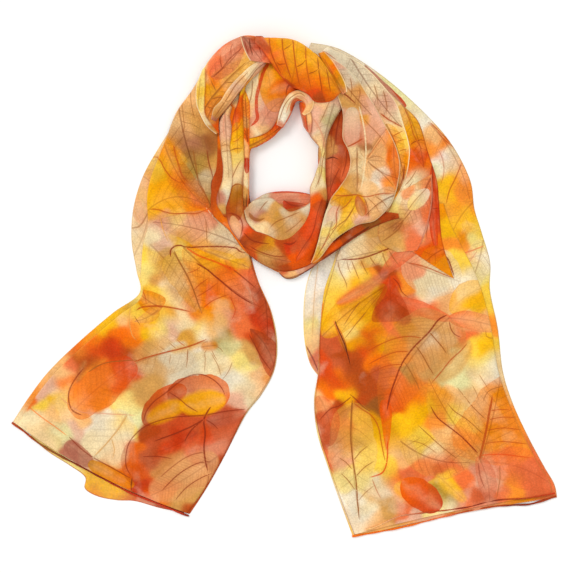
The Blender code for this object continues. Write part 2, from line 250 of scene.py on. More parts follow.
def wash_colours(washes, plan, seed):
    """The dyes at points in plan: each spot holds its ground up to a watercolour edge
    that wanders, and is crisp in some places and soft in others."""
    x = plan[..., 0] + waves(WASH_SHIFT_X, plan, seed)
    y = plan[..., 1] + waves(WASH_SHIFT_Y, plan, seed)
    spots = [
        (*spot, linear_dye(dye))
        for dye, group in washes.items() for spot in np.reshape(group, (-1, 3))
    ]
    away = np.stack([
        ((x - spot_x) ** 2 + (y - spot_y) ** 2) / reach**2 for spot_x, spot_y, reach, _ in spots
    ])
    crisper, in_places = (waves(table, plan, seed) for table in WASH_CRISPER)
    crisp = WASH_CRISPNESS + crisper * in_places
    weight = np.exp(-crisp * (away - away.min(axis=0)))
    dyes = np.array([spot[3] for spot in spots])
    return np.tensordot(weight, dyes, axes=(0, 0)) / weight.sum(axis=0)[..., None]


def face_corners(shape):
    """The corners of a grid's faces, as places in its list of points."""
    rows, columns = shape[0], shape[1]
    index = np.arange(rows * columns).reshape(rows, columns)
    return np.stack(
        (index[:-1, :-1], index[:-1, 1:], index[1:, 1:], index[1:, :-1]), axis=-1
    ).reshape(-1, 4)


def store_points(mesh, label, kind, values):
    """Stores one value or colour for each point of a mesh."""
    attribute = mesh.attributes.new(label, kind, "POINT")
    field = "color" if kind == "FLOAT_COLOR" else "value"
    attribute.data.foreach_set(field, np.asarray(values, np.float32).ravel())


def store_corners(mesh, label, values, turned):
    """Stores four numbers for each corner of a grid's faces, in the faces' own order."""
    attribute = mesh.attributes.new(label, "FLOAT_COLOR", "CORNER")
    attribute.data.foreach_set("color", (values[:, ::-1] if turned else values).ravel())


def print_leaves(mesh, plan, leaves, turned):
    """Writes each face's leaves to its corners: the place on the leaf, form and dye."""
    corner_points = plan.reshape(-1, 2)[face_corners(plan.shape)]
    faces = len(corner_points)
    layers = [
        {part: np.zeros((faces, 4, 4), np.float32) for part in ("place", "form", "dye")}
        for _ in range(LEAF_LAYERS)
    ]
    for layer in layers:
        layer["place"][..., 1] = FAR
        layer["place"][..., 2] = 1.0
        layer["form"][..., :] = (0.1, 1.0, 1.0, 9.0)
    used = np.zeros(faces, int)
    for *ends, half_width, bend, form, stem_dye, tip_dye, cover, spacing, veins in leaves:
        stem = np.array(ends[:2], float)
        run = np.array(ends[2:], float) - stem
        length = math.hypot(*run)
        run /= length
        offset = corner_points - stem
        along = offset @ run
        part = np.clip(along / length, 0, 1)
        beside = offset @ np.array((-run[1], run[0])) - bend * 4 * part * (1 - part)
        rise, fall, soft = LEAF_FORMS[form]
        peak = rise**rise * fall**fall / (rise + fall) ** (rise + fall)
        outline = half_width / peak * part**rise * (1 - part) ** fall
        margin = LEAF_MARGIN + 0.2 * half_width + 2 * LEAF_MARGIN * soft
        close = (np.abs(beside) < outline + margin).any(axis=1)
        close &= (along > -margin).any(axis=1) & (along < length + margin).any(axis=1)
        stem_dye, tip_dye = np.array(linear_dye(stem_dye)), np.array(linear_dye(tip_dye))
        chosen = np.nonzero(close)[0]
        full = chosen[used[chosen] >= LEAF_LAYERS]
        for lower, upper in zip(layers, layers[1:]):
            for key in lower:
                lower[key][full] = upper[key][full]
        used[full] -= 1
        for number, layer in enumerate(layers):
            here = chosen[used[chosen] == number]
            share = part[here][..., None]
            layer["place"][here, :, 0] = along[here]
            layer["place"][here, :, 1] = beside[here]
            layer["place"][here, :, 2] = length
            layer["place"][here, :, 3] = veins
            layer["form"][here] = (half_width / peak, rise, fall, spacing)
            layer["dye"][here, :, :3] = stem_dye * (1 - share) + tip_dye * share
            layer["dye"][here, :, 3] = cover + 2 * soft
        used[chosen] += 1
    for number, layer in enumerate(layers, 1):
        for key, values in layer.items():
            store_corners(mesh, f"leaf_{number}_{key}", values, turned)


def draw_lines(mesh, plan, lines, turned):
    """Writes to each face's corners where they lie beside the nearest drawn line."""
    corner_points = plan.reshape(-1, 2)[face_corners(plan.shape)]
    middles = corner_points.mean(axis=1)
    closest = np.full(len(middles), LINE_REACH)
    place = np.zeros(corner_points.shape[:2] + (4,), np.float32)
    place[..., 0] = FAR
    dye = np.zeros_like(place)
    drawn = [(*style[:3], points) for style in lines for points in style[3:]]
    for half_width, line_dye, strength, points in drawn:
        path = smooth_curve(np.reshape(points, (-1, 2)))[::8]
        start, run = path[:-1], np.diff(path, axis=0)
        lengths = np.hypot(run[:, 0], run[:, 1])
        start, run, lengths = (values[lengths > 0] for values in (start, run, lengths))
        run /= lengths[:, None]
        before = np.concatenate(([0.0], np.cumsum(lengths)))
        low, high = path.min(axis=0) - LINE_REACH, path.max(axis=0) + LINE_REACH
        near = np.nonzero(((middles > low) & (middles < high)).all(axis=1))[0]
        offset = middles[near][:, None] - start
        along = np.clip((offset * run).sum(axis=2), 0, lengths)
        gap = np.linalg.norm(offset - along[..., None] * run, axis=2)
        piece, gap = gap.argmin(axis=1), gap.min(axis=1) - 1.5 * half_width
        closer = gap < closest[near]
        near, piece = near[closer], piece[closer]
        closest[near] = gap[closer]
        offset = corner_points[near] - start[piece][:, None]
        heading = run[piece][:, None]
        place[near, :, 0] = offset[..., 1] * heading[..., 0] - offset[..., 0] * heading[..., 1]
        place[near, :, 1] = (offset * heading).sum(axis=2) + before[piece][:, None]
        place[near, :, 2] = before[-1]
        place[near, :, 3] = half_width
        dye[near] = (*linear_dye(line_dye), strength)
    store_corners(mesh, "line_place", place, turned)
    store_corners(mesh, "line_dye", dye, turned)


def drape(rows, across, plan, share, unevenness, seed, creases, hollow):
    """A ply's height in plan, with that of what it rests on: its own shape where that
    stands clear, else it follows what is below, with its creases and hollow on top."""
    left_z, crown_z, right_z = rows[:, 4:5], rows[:, 5:6], rows[:, 6:7]
    edge_z = left_z + (right_z - left_z) * across
    crown = 1 - np.abs(2 * across - 1) ** CROWN_POWER
    shape = share * (edge_z + (crown_z - edge_z) * crown)
    rest = read_map(spread(laid_height, np.max), plan)
    settled = rest
    for _ in range(SOFTEN):
        settled = spread(settled, np.mean)
    top = np.maximum(shape, settled + PLY_GAP)
    top = top + unevenness * (waves(RIPPLES, plan, seed) / RIPPLE_SCALE)
    for crease in creases:
        top = top + crease_height(crease, plan)
    if hollow:
        x, y, half_length, half_width, depth = hollow
        reach = np.hypot((plan[..., 0] - x) / half_length, (plan[..., 1] - y) / half_width)
        top = top - depth * np.clip(1 - reach**2, 0, 1) ** HOLLOW_POWER
    return np.maximum(top, rest + PLY_GAP), rest


def lay_ply(
    name, nodes, sections, washes, leaves=(), creases=(), lines=(), share=1.0, seed=0.0,
    lips=(2.6, 2.6), ends=(0.0, 0.0), edges=(("rust", 0.4), ("rust", 0.4)), hollow=None,
    unevenness=0.45, slot="leaf_print_chiffon",
):
    """Lays one ply over what is already down, prints it, and hides the model's parts that it
    stands for.
    """
    rows = even_rows(sections)
    left, right = rows[:, None, 0:2], rows[:, None, 2:4]
    chord = right - left
    width = np.hypot(chord[..., 0], chord[..., 1])
    columns = max(6, round(float(width.max()) / GRID))
    across = np.linspace(0, 1, columns + 1)[None, :]
    outward = np.stack((chord[..., 1], -chord[..., 0]), axis=-1) / width[..., None]
    bow = rows[:, None, 7:].sum(axis=2, keepdims=True) * (4 * across * (1 - across))[..., None]
    plan = left + chord * across[..., None] + outward * bow

    top, rest = drape(rows, across, plan, share, unevenness, seed, creases, hollow)
    from_left, from_right = across * width, (1 - across) * width
    run = np.linspace(0, 1, len(rows))[:, None] * GRID * (len(rows) - 1)
    from_start, from_end = run + 0 * across, run[::-1] + 0 * across
    for distance, lip in zip((from_left, from_right, from_start, from_end), (*lips, *ends)):
        if lip:
            round_off = np.sqrt(1 - (1 - np.clip(distance / lip, 0, 1)) ** 2)
            top = rest + EDGE_GAP + (top - rest - EDGE_GAP) * round_off
    cells = ((plan + MAP_HALF) / CELL).astype(int)
    np.maximum.at(laid_height, (cells[..., 1], cells[..., 0]), top)

    points = np.dstack((plan, top)) * MM
    corners = face_corners(plan.shape)
    first = points.reshape(-1, 3)[corners]
    turned = np.cross(first[:, 1] - first[:, 0], first[:, 3] - first[:, 0])[:, 2].mean() < 0
    mesh = bpy.data.meshes.new(name)
    order = corners[:, ::-1] if turned else corners
    mesh.from_pydata(points.reshape(-1, 3).tolist(), [], order.tolist())
    mesh.shade_smooth()
    colours = np.ones(plan.shape[:2] + (4,), np.float32)
    colours[..., :3] = wash_colours(washes, plan, seed)
    store_points(mesh, "wash", "FLOAT_COLOR", colours)
    store_points(mesh, "edge_mm", "FLOAT", np.minimum(from_left, from_right))
    # The lines along its two edges: dark ones partly the darker doubled edge and partly painted
    # fold shade, light ones a painted highlight on the fold.
    by_side = [(*linear_dye(dye), strength) for dye, strength in edges]
    edge = np.where((from_left < from_right)[..., None], *np.array(by_side))
    store_points(mesh, "edge_line_and_fold_light", "FLOAT_COLOR", edge)
    cloth_map = mesh.uv_layers.new(name="cloth")
    flat_map = np.stack((from_left, from_start), axis=-1).reshape(-1, 2) * MM
    cloth_map.data.foreach_set("uv", flat_map[order].astype(np.float32).ravel())
    print_leaves(mesh, plan, leaves, turned)
    draw_lines(mesh, plan, lines, turned)
    piece = bpy.data.objects.new(name, mesh)
    bpy.context.collection.objects.link(piece)
    mesh.materials.append(chiffons[slot])

    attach(piece, "root")
    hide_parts(*nodes.split())
    return piece


# The look is built of shader nodes. These functions add one step each to a tree.
CREPE = 560.0          # the noises' scales: the crepe's grain, the mottling of its dyes,
MOTTLE = 48.0          # where dye has pooled or lifted, and the net of smallest veins
POOLS = 21.0
VEIN_NET = 330.0
BUMP_DEPTH = 0.0003

# Tints: where dye has pooled, where it has lifted, the net of smallest veins, a leaf's
# rim, the pale run beside its midrib, its veins, and the glow beside a drawn line.
POOLED = (1.0, 0.72, 0.46, 1.0)
LIFTED = (1.0, 0.9, 0.62, 1.0)
NET_TINT = (0.5, 0.17, 0.05, 1.0)
RIM_TINT = (0.66, 0.42, 0.30, 1.0)
MIDRIB_TINT = (1.0, 0.82, 0.5, 1.0)
VEIN_TINT = (0.30, 0.13, 0.09, 1.0)
GLOW_TINT = (0.86, 0.52, 0.30, 1.0)


def set_or_link(tree, sockets, values):
    """Gives each socket its plain value, or joins it to the socket that it comes from."""
    for socket, value in zip(sockets, values):
        if isinstance(value, (int, float, tuple)):
            socket.default_value = value
        else:
            tree.links.new(value, socket)


def calculate(tree, operation, *values):
    """A math node over sockets or plain numbers."""
    step = tree.nodes.new("ShaderNodeMath")
    step.operation = operation
    set_or_link(tree, step.inputs, values)
    return step.outputs[0]


def ramp(tree, value, low, high, start=0.0, end=1.0):
    """A value that goes smoothly from start to end as another goes from low to high."""
    step = tree.nodes.new("ShaderNodeMapRange")
    step.interpolation_type = "SMOOTHSTEP"
    set_or_link(tree, step.inputs, (value, low, high, start, end))
    return step.outputs[0]


def blend_colours(tree, share, under, over, blend="MIX"):
    """One colour laid on another."""
    step = tree.nodes.new("ShaderNodeMix")
    step.data_type = "RGBA"
    step.blend_type = blend
    set_or_link(tree, (step.inputs[0], step.inputs[6], step.inputs[7]), (share, under, over))
    return step.outputs[2]


def tint_colour(tree, colour, tint):
    """A colour with a tint printed over it."""
    return blend_colours(tree, 1.0, colour, tint, "MULTIPLY")


def scale_colour(tree, colour, factor):
    """A colour made lighter or darker."""
    step = tree.nodes.new("ShaderNodeVectorMath")
    step.operation = "SCALE"
    set_or_link(tree, (step.inputs[0], step.inputs["Scale"]), (colour, factor))
    return step.outputs[0]


def split_vector(tree, vector):
    """A vector's three parts."""
    step = tree.nodes.new("ShaderNodeSeparateXYZ")
    tree.links.new(vector, step.inputs[0])
    return step.outputs


def cloth_noise(tree, scale, detail):
    """Noise that stays in place on the cloth."""
    coordinates = tree.nodes.new("ShaderNodeTexCoord")
    step = tree.nodes.new("ShaderNodeTexNoise")
    step.inputs["Scale"].default_value = scale
    step.inputs["Detail"].default_value = detail
    tree.links.new(coordinates.outputs["Object"], step.inputs["Vector"])
    return step.outputs[0]


def roughen(tree, shader, height, strength):
    """Lets a height stand up slightly from the cloth."""
    bump = tree.nodes.new("ShaderNodeBump")
    bump.inputs["Strength"].default_value = strength
    bump.inputs["Distance"].default_value = BUMP_DEPTH
    tree.links.new(height, bump.inputs["Height"])
    tree.links.new(bump.outputs[0], shader.inputs["Normal"])


def leaf_group():
    """The look of one layer of printed leaves over the dyes below it."""
    tree = bpy.data.node_groups.new("printed_leaf", "ShaderNodeTree")
    for label, kind in (
        ("Under", "Color"), ("Place", "Vector"), ("Veins", "Float"), ("Form", "Vector"),
        ("Spacing", "Float"), ("Dye", "Color"), ("Cover", "Float"), ("Mottle", "Float"),
        ("Net", "Float"), ("Grain", "Float"),
    ):
        tree.interface.new_socket(label, in_out="INPUT", socket_type="NodeSocket" + kind)
    tree.interface.new_socket("Colour", in_out="OUTPUT", socket_type="NodeSocketColor")
    entry = tree.nodes.new("NodeGroupInput").outputs
    exit_node = tree.nodes.new("NodeGroupOutput")

    def do(operation, *values):
        return calculate(tree, operation, *values)

    def times(*values):
        return do("MULTIPLY", *values)

    def minus(*values):
        return do("SUBTRACT", *values)

    def scaled_plus(value, factor, added):
        return do("MULTIPLY_ADD", value, factor, added)

    def chance(value):
        step = tree.nodes.new("ShaderNodeTexWhiteNoise")
        step.noise_dimensions = "1D"
        tree.links.new(value, step.inputs["W"])
        return step.outputs["Value"]

    along, beside, length = split_vector(tree, entry["Place"])
    scale, rise, fall = split_vector(tree, entry["Form"])
    mottle, grain, spacing = entry["Mottle"], entry["Grain"], entry["Spacing"]
    soft = do("GREATER_THAN", entry["Cover"], 1.5)
    cover = scaled_plus(soft, -2.0, entry["Cover"])
    fan = do("GREATER_THAN", entry["Veins"], 1.5)
    strength = scaled_plus(fan, -2.0, entry["Veins"])

    # The leaf's outline by its form, wandering a little, and where its rim is deeper.
    part = do("MINIMUM", do("MAXIMUM", do("DIVIDE", along, length), 0.0001), 0.9999)
    left_over = minus(1.0, part)
    outline = times(do("POWER", part, rise), do("POWER", left_over, fall))
    outline = times(outline, scale)
    aside = do("ABSOLUTE", beside)
    wander = scaled_plus(minus(mottle, 0.5), 0.5, 1.0)
    inside = minus(times(outline, wander), aside)
    inside = do("ADD", inside, times(minus(grain, 0.5), 0.7))
    inside = scaled_plus(soft, 2.5, inside)
    edge_width = scaled_plus(soft, 5.5, 0.7)
    mask = ramp(tree, inside, 0.0, edge_width)
    before, after = scaled_plus(soft, -2.0, -0.5), scaled_plus(soft, 3.0, 0.5)
    mask = times(mask, ramp(tree, along, before, after))
    mask = times(mask, ramp(tree, minus(length, along), before, after))
    rim_dye = ramp(tree, mottle, 0.4, 0.6, 0.15, 0.7)
    rim = times(ramp(tree, inside, 0.5, 2.0, 1.0, 0.0), rim_dye)
    rim = times(rim, minus(1.0, soft))

    # Its midrib, and side veins that lean forward, or else a fan of veins in degrees.
    reach = do("MINIMUM", do("DIVIDE", aside, do("MAXIMUM", outline, 0.01)), 1.0)
    rib = minus(aside, scaled_plus(left_over, 0.5, 0.2))
    rib = ramp(tree, rib, 0.0, 0.5, 1.0, 0.0)
    lean = scaled_plus(times(aside, aside), 0.007, times(aside, 0.62))
    side_of = do("GREATER_THAN", beside, 0.0)
    side_phase = do("DIVIDE", minus(along, lean), spacing)
    side_phase = do("ADD", side_phase, times(side_of, 0.37))
    angle = times(do("ARCTAN2", beside, do("ADD", along, 3.0)), 57.3)
    fan_phase = do("DIVIDE", angle, spacing)
    radius = do("SQRT", do("ADD", times(along, along), times(aside, aside)))
    fan_gap = times(times(radius, spacing), 0.01745)
    no_fan = minus(1.0, fan)
    phase = do("ADD", times(side_phase, no_fan), times(fan_phase, fan))
    gap = do("ADD", times(times(spacing, 0.85), no_fan), times(fan_gap, fan))
    phase = scaled_plus(mottle, 0.5, phase)
    luck = chance(scaled_plus(side_of, 41.3, do("FLOOR", phase)))
    away = do("ABSOLUTE", minus(do("FRACT", phase), scaled_plus(luck, 0.3, 0.35)))
    away = times(away, gap)
    side = ramp(tree, away, 0.08, 0.5, 1.0, 0.0)
    side = times(side, scaled_plus(luck, 0.5, 0.5))
    side = times(side, ramp(tree, reach, 0.75, 1.0, 1.0, 0.15))

    # Fine veins that cross between them, and the net of the smallest.
    cross = do("DIVIDE", scaled_plus(along, 0.5, aside), 2.9)
    cross = scaled_plus(luck, 3.0, scaled_plus(mottle, 1.4, cross))
    cross = do("ABSOLUTE", minus(do("FRACT", cross), 0.5))
    cross = times(ramp(tree, cross, 0.02, 0.13, 1.0, 0.0), 0.36)
    fine = do("MAXIMUM", cross, times(entry["Net"], 0.3))
    veins = do("MAXIMUM", do("MAXIMUM", rib, side), fine)
    veins = times(veins, ramp(tree, grain, 0.36, 0.56, 0.6, 1.0))
    veins = do("MINIMUM", times(times(veins, mask), strength), 1.0)

    # Its dye, deeper at the rim, paler beside the midrib and between veins, a little
    # sheer over what is printed below, and patchy.
    patchy = scaled_plus(mottle, 0.35, 0.82)
    cover = do("MINIMUM", times(times(mask, cover), patchy), 1.0)
    deep = tint_colour(tree, entry["Dye"], RIM_TINT)
    shown = blend_colours(tree, times(rim, 0.5), entry["Dye"], deep)
    pale_share = times(ramp(tree, reach, 0.0, 0.8, 0.22, 0.0), ramp(tree, mottle, 0.35, 0.65))
    shown = blend_colours(tree, pale_share, shown, MIDRIB_TINT)
    beside_vein = times(ramp(tree, away, 0.3, 3.0, 1.0, 0.0), strength)
    shown = scale_colour(tree, shown, scaled_plus(beside_vein, -0.16, 1.04))
    through = tint_colour(tree, shown, entry["Under"])
    shown = blend_colours(tree, 0.32, shown, through)
    colour = blend_colours(tree, cover, entry["Under"], shown)
    vein_dye = tint_colour(tree, colour, VEIN_TINT)
    colour = blend_colours(tree, times(veins, 0.85), colour, vein_dye)
    tree.links.new(colour, exit_node.inputs["Colour"])
    return tree


leaf_look = leaf_group()


def chiffon(name, opacity):
    """Sheer crepe chiffon, printed from the dyes, leaves and lines that a ply carries."""
    material = bpy.data.materials.new(name)
    material.use_nodes = True
    tree = material.node_tree
    shader = tree.nodes["Principled BSDF"]
    shader.inputs["Roughness"].default_value = 0.85
    shader.inputs["Specular IOR Level"].default_value = 0.05
    shader.inputs["Sheen Weight"].default_value = 0.04
    shader.inputs["Sheen Roughness"].default_value = 0.45
    shader.inputs["Alpha"].default_value = opacity

    def carried(label):
        step = tree.nodes.new("ShaderNodeAttribute")
        step.attribute_name = label
        return step.outputs

    def do(operation, *values):
        return calculate(tree, operation, *values)

    def times(*values):
        return do("MULTIPLY", *values)

    mottle = cloth_noise(tree, MOTTLE, 4.0)
    grain = cloth_noise(tree, CREPE, 3.0)
    pool = cloth_noise(tree, POOLS, 6.0)
    cells = tree.nodes.new("ShaderNodeTexVoronoi")
    cells.feature = "DISTANCE_TO_EDGE"
    cells.inputs["Scale"].default_value = VEIN_NET
    coordinates = tree.nodes.new("ShaderNodeTexCoord")
    tree.links.new(coordinates.outputs["Object"], cells.inputs["Vector"])
    net = ramp(tree, cells.outputs["Distance"], 0.0, 0.14, 1.0, 0.0)

    # The washes, mottled, deeper where dye pooled and paler where it lifted.
    mottled = ramp(tree, mottle, 0.32, 0.68, 0.86, 1.08)
    colour = scale_colour(tree, carried("wash")["Color"], mottled)
    pooled = tint_colour(tree, colour, POOLED)
    colour = blend_colours(tree, ramp(tree, pool, 0.5, 0.62, 0.0, 0.42), colour, pooled)
    colour = blend_colours(tree, ramp(tree, pool, 0.34, 0.44, 0.2, 0.0), colour, LIFTED)
    colour = blend_colours(tree, times(net, 0.1), colour, NET_TINT)
    for number in range(1, LEAF_LAYERS + 1):
        group = tree.nodes.new("ShaderNodeGroup")
        group.node_tree = leaf_look
        place, form, dye = (carried(f"leaf_{number}_{key}") for key in ("place", "form", "dye"))
        for label, source in (
            ("Under", colour), ("Place", place["Vector"]), ("Veins", place["Alpha"]),
            ("Form", form["Vector"]), ("Spacing", form["Alpha"]), ("Dye", dye["Color"]),
            ("Cover", dye["Alpha"]), ("Mottle", mottle), ("Net", net), ("Grain", grain),
        ):
            tree.links.new(source, group.inputs[label])
        colour = group.outputs["Colour"]

    # Drawn lines, which waver, thin out at both ends and glow a little beside them.
    place, dye = carried("line_place"), carried("line_dye")
    beside, along, length = split_vector(tree, place["Vector"])
    beside = do("ABSOLUTE", do("MULTIPLY_ADD", do("SUBTRACT", mottle, 0.5), 1.2, beside))
    to_end = ramp(tree, do("SUBTRACT", length, along), -1.0, 12.0)
    taper = times(ramp(tree, along, -1.0, 5.0), to_end)
    stroke = times(times(taper, place["Alpha"]), 0.72)
    drawn = ramp(tree, do("SUBTRACT", beside, stroke), 0.0, 0.4, 1.0, 0.0)
    drawn = times(drawn, ramp(tree, taper, 0.0, 0.35))
    drawn = times(drawn, ramp(tree, grain, 0.36, 0.56, 0.72, 1.0))
    glow = times(times(ramp(tree, beside, 0.4, 4.0, 0.24, 0.0), taper), dye["Alpha"])
    colour = blend_colours(tree, glow, colour, tint_colour(tree, colour, GLOW_TINT))
    colour = blend_colours(tree, times(drawn, dye["Alpha"]), colour, dye["Color"])

    # The crepe's grain, and the line along the ply's edges: partly dye, partly painted fold shade
    # and painted fold highlight.
    colour = scale_colour(tree, colour, ramp(tree, grain, 0.32, 0.68, 0.89, 1.07))
    edge = carried("edge_line_and_fold_light")
    near = ramp(tree, carried("edge_mm")["Fac"], 0.6, 1.4, 1.0, 0.0)
    near = times(near, ramp(tree, mottle, 0.35, 0.6, 0.55, 1.0))
    colour = blend_colours(tree, times(near, edge["Alpha"]), colour, edge["Color"])
    tree.links.new(colour, shader.inputs["Base Color"])
    roughen(tree, shader, grain, 0.25)
    return material


chiffons = {
    name: chiffon(name, opacity)
    for name, opacity in (("leaf_print_chiffon", 0.94), ("pale_chiffon", 0.8))
}

lay_ply(
    "left_under_ply", "left_underlayer",
    (
        (-232, -138, -263, -154, 1, 1, 1), (-216, -158, -244, -170, 1, 1, 1),
        (-196, -168, -222, -184, 1, 1, 1), (-185, -174, -206, -196, 1, 1, 1),
        (-180, -179, -206, -208, 1, 1, 1), (-175, -184, -193, -216, 1, 1, 1),
        (-160, -189, -173, -220, 1, 1, 1), (-139, -197, -154, -221, 1, 1, 1),
        (-113, -208, -129, -228, 1, 1, 1), (-94, -218, -104, -233, 1, 1, 1),
    ),
    {
        "pale_yellow": (-252, -164, 22, -221, -181, 14),
        "yellow": (-199, -199, 13, -178, -209, 12), "amber": (-194, -213, 10),
        "light_orange": (-166, -220, 9), "deep_orange": (-147, -224, 12), "rust": (-113, -232, 20),
    },
    share=0.7, unevenness=0.1, edges=(("rust", 0.2), ("rust", 0.75)), slot="pale_chiffon",
)


# Left rolled hem: the scarf's left end is rolled tight and overlocked, a dark red
# cord-like edge that wavers a little, and belongs to the tail plies laid above it.
HEM_SIDES = 8
HEM_STEP = 1.5
HEM_SMOOTHING = 12     # times its path is smoothed
HEM_SWAY = (0.25, 11)  # how far it wavers, and over what length
HEM_SWELLS = ((0.14, 3.1, 0), (0.1, 7.7, 1))   # its thickness: share, length and turn
STITCHES = 900.0       # scale of the overlock stitches' noise


def rolled_hem(name, node, line, radius, washes):
    """A slightly uneven tight roll of cloth along a line of points, closed at its ends."""
    line = np.array(line, float)
    run = np.concatenate(([0.0], np.cumsum(np.hypot(*np.diff(line[:, :2], axis=0).T))))
    wanted = np.linspace(0, run[-1], max(8, round(run[-1] / HEM_STEP)) + 1)
    path = np.stack([np.interp(wanted, run, column) for column in line.T], axis=1)
    for _ in range(HEM_SMOOTHING):
        path[1:-1] = (path[:-2] + 2 * path[1:-1] + path[2:]) / 4
    heading = np.gradient(path[:, :2], axis=0)
    heading /= np.hypot(heading[:, 0], heading[:, 1])[:, None]
    beside = np.stack((-heading[:, 1], heading[:, 0]), axis=1)
    swells = [share * np.sin(wanted / length + turn) for share, length, turn in HEM_SWELLS]
    thick = radius * (1 + sum(swells))
    sway, sway_length = HEM_SWAY
    path[:, :2] += beside * (sway * np.sin(wanted / sway_length))[:, None]
    rest = read_map(spread(laid_height, np.max), path[:, :2])
    centre_z = np.maximum(path[:, 2], rest) + thick
    rings = [
        np.column_stack((
            path[:, :2] + beside * (thick * math.cos(turn))[:, None],
            centre_z + thick * math.sin(turn),
        ))
        for turn in np.linspace(0, math.tau, HEM_SIDES, endpoint=False)
    ]
    points = np.stack(rings, axis=1) * MM
    rows, sides = points.shape[:2]
    corners = ((0, 0), (1, 0), (1, 1), (0, 1))
    faces = [
        tuple((row + down) * sides + (side + on) % sides for down, on in corners)
        for row in range(rows - 1)
        for side in range(sides)
    ]
    faces.append(tuple(range(sides)))
    faces.append(tuple((rows - 1) * sides + side for side in reversed(range(sides))))
    mesh = bpy.data.meshes.new(name)
    mesh.from_pydata(points.reshape(-1, 3).tolist(), [], faces)
    mesh.shade_smooth()
    mesh.materials.append(hem_material)
    colours = np.ones((rows, sides, 4), np.float32)
    colours[..., :3] = wash_colours(washes, np.repeat(path[:, None, :2], sides, axis=1), 1.0)
    store_points(mesh, "wash", "FLOAT_COLOR", colours)
    piece = bpy.data.objects.new(name, mesh)
    bpy.context.collection.objects.link(piece)
    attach(piece, "root")
    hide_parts(node)
    return piece


def hem_cloth():
    """Tightly rolled chiffon under overlock stitches: dyed as the print, but darker."""
    material = bpy.data.materials.new("rolled_hem")
    material.use_nodes = True
    tree = material.node_tree
    shader = tree.nodes["Principled BSDF"]
    shader.inputs["Roughness"].default_value = 0.75
    shader.inputs["Specular IOR Level"].default_value = 0.2
    wash = tree.nodes.new("ShaderNodeAttribute")
    wash.attribute_name = "wash"
    stitches = cloth_noise(tree, STITCHES, 2.0)
    shade = ramp(tree, stitches, 0.35, 0.65, 0.7, 1.1)
    colour = scale_colour(tree, wash.outputs["Color"], shade)
    tree.links.new(colour, shader.inputs["Base Color"])
    roughen(tree, shader, stitches, 0.4)
    return material


hem_material = hem_cloth()
LEFT_HEM = (
    (-281, -140, 0.2), (-269, -149, 0.2), (-254, -161, 0.2), (-240, -169, 0.2), (-226, -177, 0.2),
    (-201, -190, 0.2), (-180, -201, 0.2), (-158, -213, 0.2), (-124, -226, 0.2), (-99, -236, 0.2),
)
left_hem = rolled_hem(
    "left_rolled_hem", "left_hem", LEFT_HEM, 1.0,
    {
        "red": (-160, -212, 20, -124, -226, 20), "rust": (-273, -148, 20),
        "maroon": (-201, -191, 25, -100, -235, 10), "brown": (-242, -170, 20),
    },
)


# Left tail: the scarf's left end, from its hem up the left side to the wrap. Two wide
# plies lie one on the other, folded together along the right, with the upper one set
# in from the left so that a pale sheer margin of the lower one shows.
LEFT_TAIL = (
    (-280, -139, -98, -234, 2.0, 3.0, 2.0, 8.5), (-263, -113, -81, -208, 2.0, 5.0, 2.0, 6),
    (-242, -86, -62, -174, 2.0, 6.0, 2.0, 3), (-211, -56, -41, -133, 2.0, 6.5, 2.2, 0),
    (-177, -27, -24, -111, 2.2, 7.0, 2.5, 0), (-150, -7, -11, -86, 2.5, 7.0, 2.5, 0),
    (-153, 17, -8, -58, 2.5, 7.5, 2.5, 0), (-158, 48, -14, -26, 2.5, 8.0, 2.8, 0),
    (-156, 81, -28, 7, 2.5, 8.0, 3.5, 0), (-146, 114, -36, 38, 2.5, 8.0, 4.5, 0),
    (-128, 146, -40, 74, 2.8, 8.5, 5.0, 0), (-108, 177, -44, 115, 3.0, 9.0, 5.0, 0),
    (-92, 202, -44, 156, 3.0, 9.5, 6.0, 0), (-81, 225, -38, 186, 3.5, 10.0, 7.0, 0),
    (-65, 247, -28, 209, 4.0, 11.0, 8.0, 0), (-43, 258, -13, 225, 5.0, 11.0, 9.0, 0),
    (-26, 257, -2, 231, 5.0, 10.0, 9.0, 0),
)
lay_ply(
    "left_tail_lower_ply", "left_tail", LEFT_TAIL,
    {
        "pale": (-153, 62, 9),
        "cream": (
            -130, 148, 14, -153, 74, 10, -153, 42, 16, -152, 19, 14, -272, -135, 16,
            -190, -158, 40, -24, -106, 12,
        ),
        "grey_cream": (-116, 169, 18),
        "peach": (-98, 194, 22, -152, 91, 14, -236, -86, 20, -15, -88, 12), "pink": (-148, 113, 9),
        "rose": (-87, 58, 40), "salmon": (-72, 231, 26),
        "pale_yellow": (-143, 138, 12, -149, -4, 16, -67, -65, 40),
        "butter": (-148, 130, 8, -152, 3, 12), "yellow": (-180, -34, 20), "amber": (-108, 130, 34),
        "light_orange": (-252, -111, 16), "orange": (-77, -4, 40, -211, -60, 20, -26, 233, 26),
        "rust": (-108, -188, 40), "olive": (-139, -65, 40),
    },
    (
        (-161, 122, -112, 74, 26, 6, "heart", "pale_yellow", "pink", 0.4, 11, 0.4),
        (-156, 31, -139, 89, 16, -4, "ovate", "cream", "peach", 0.4, 9, 0.4),
        (-159, 99, -147, 64, 7, 0, "oval", "peach", "pink", 0.6, 12, 0.1),
        (-149, -45, -231, -117, 24, 5, "ovate", "orange", "peach", 0.5, 12, 0.6),
        (-67, -45, -118, -117, 26, 5, "ovate", "olive", "cream", 0.6, 12, 0.7),
        (-98, -137, -169, -199, 24, 5, "ovate", "rust", "orange", 0.6, 12, 0.7),
    ),
    lines=(
        (0.6, "rust", 0.6, (-159, 120, -150, 125, -142, 131, -132, 133, -122, 125)),
        (0.8, "brown", 0.6, (-139, 79, -143, 72, -147, 65, -152, 61, -163, 60)),
        (0.4, "tan", 0.6, (-158, 84, -152, 71, -147, 64)),
    ),
    share=0.5, seed=1.3, edges=(("ochre", 0.35), ("rust", 0.4)), ends=(0.0, 7.0),
)

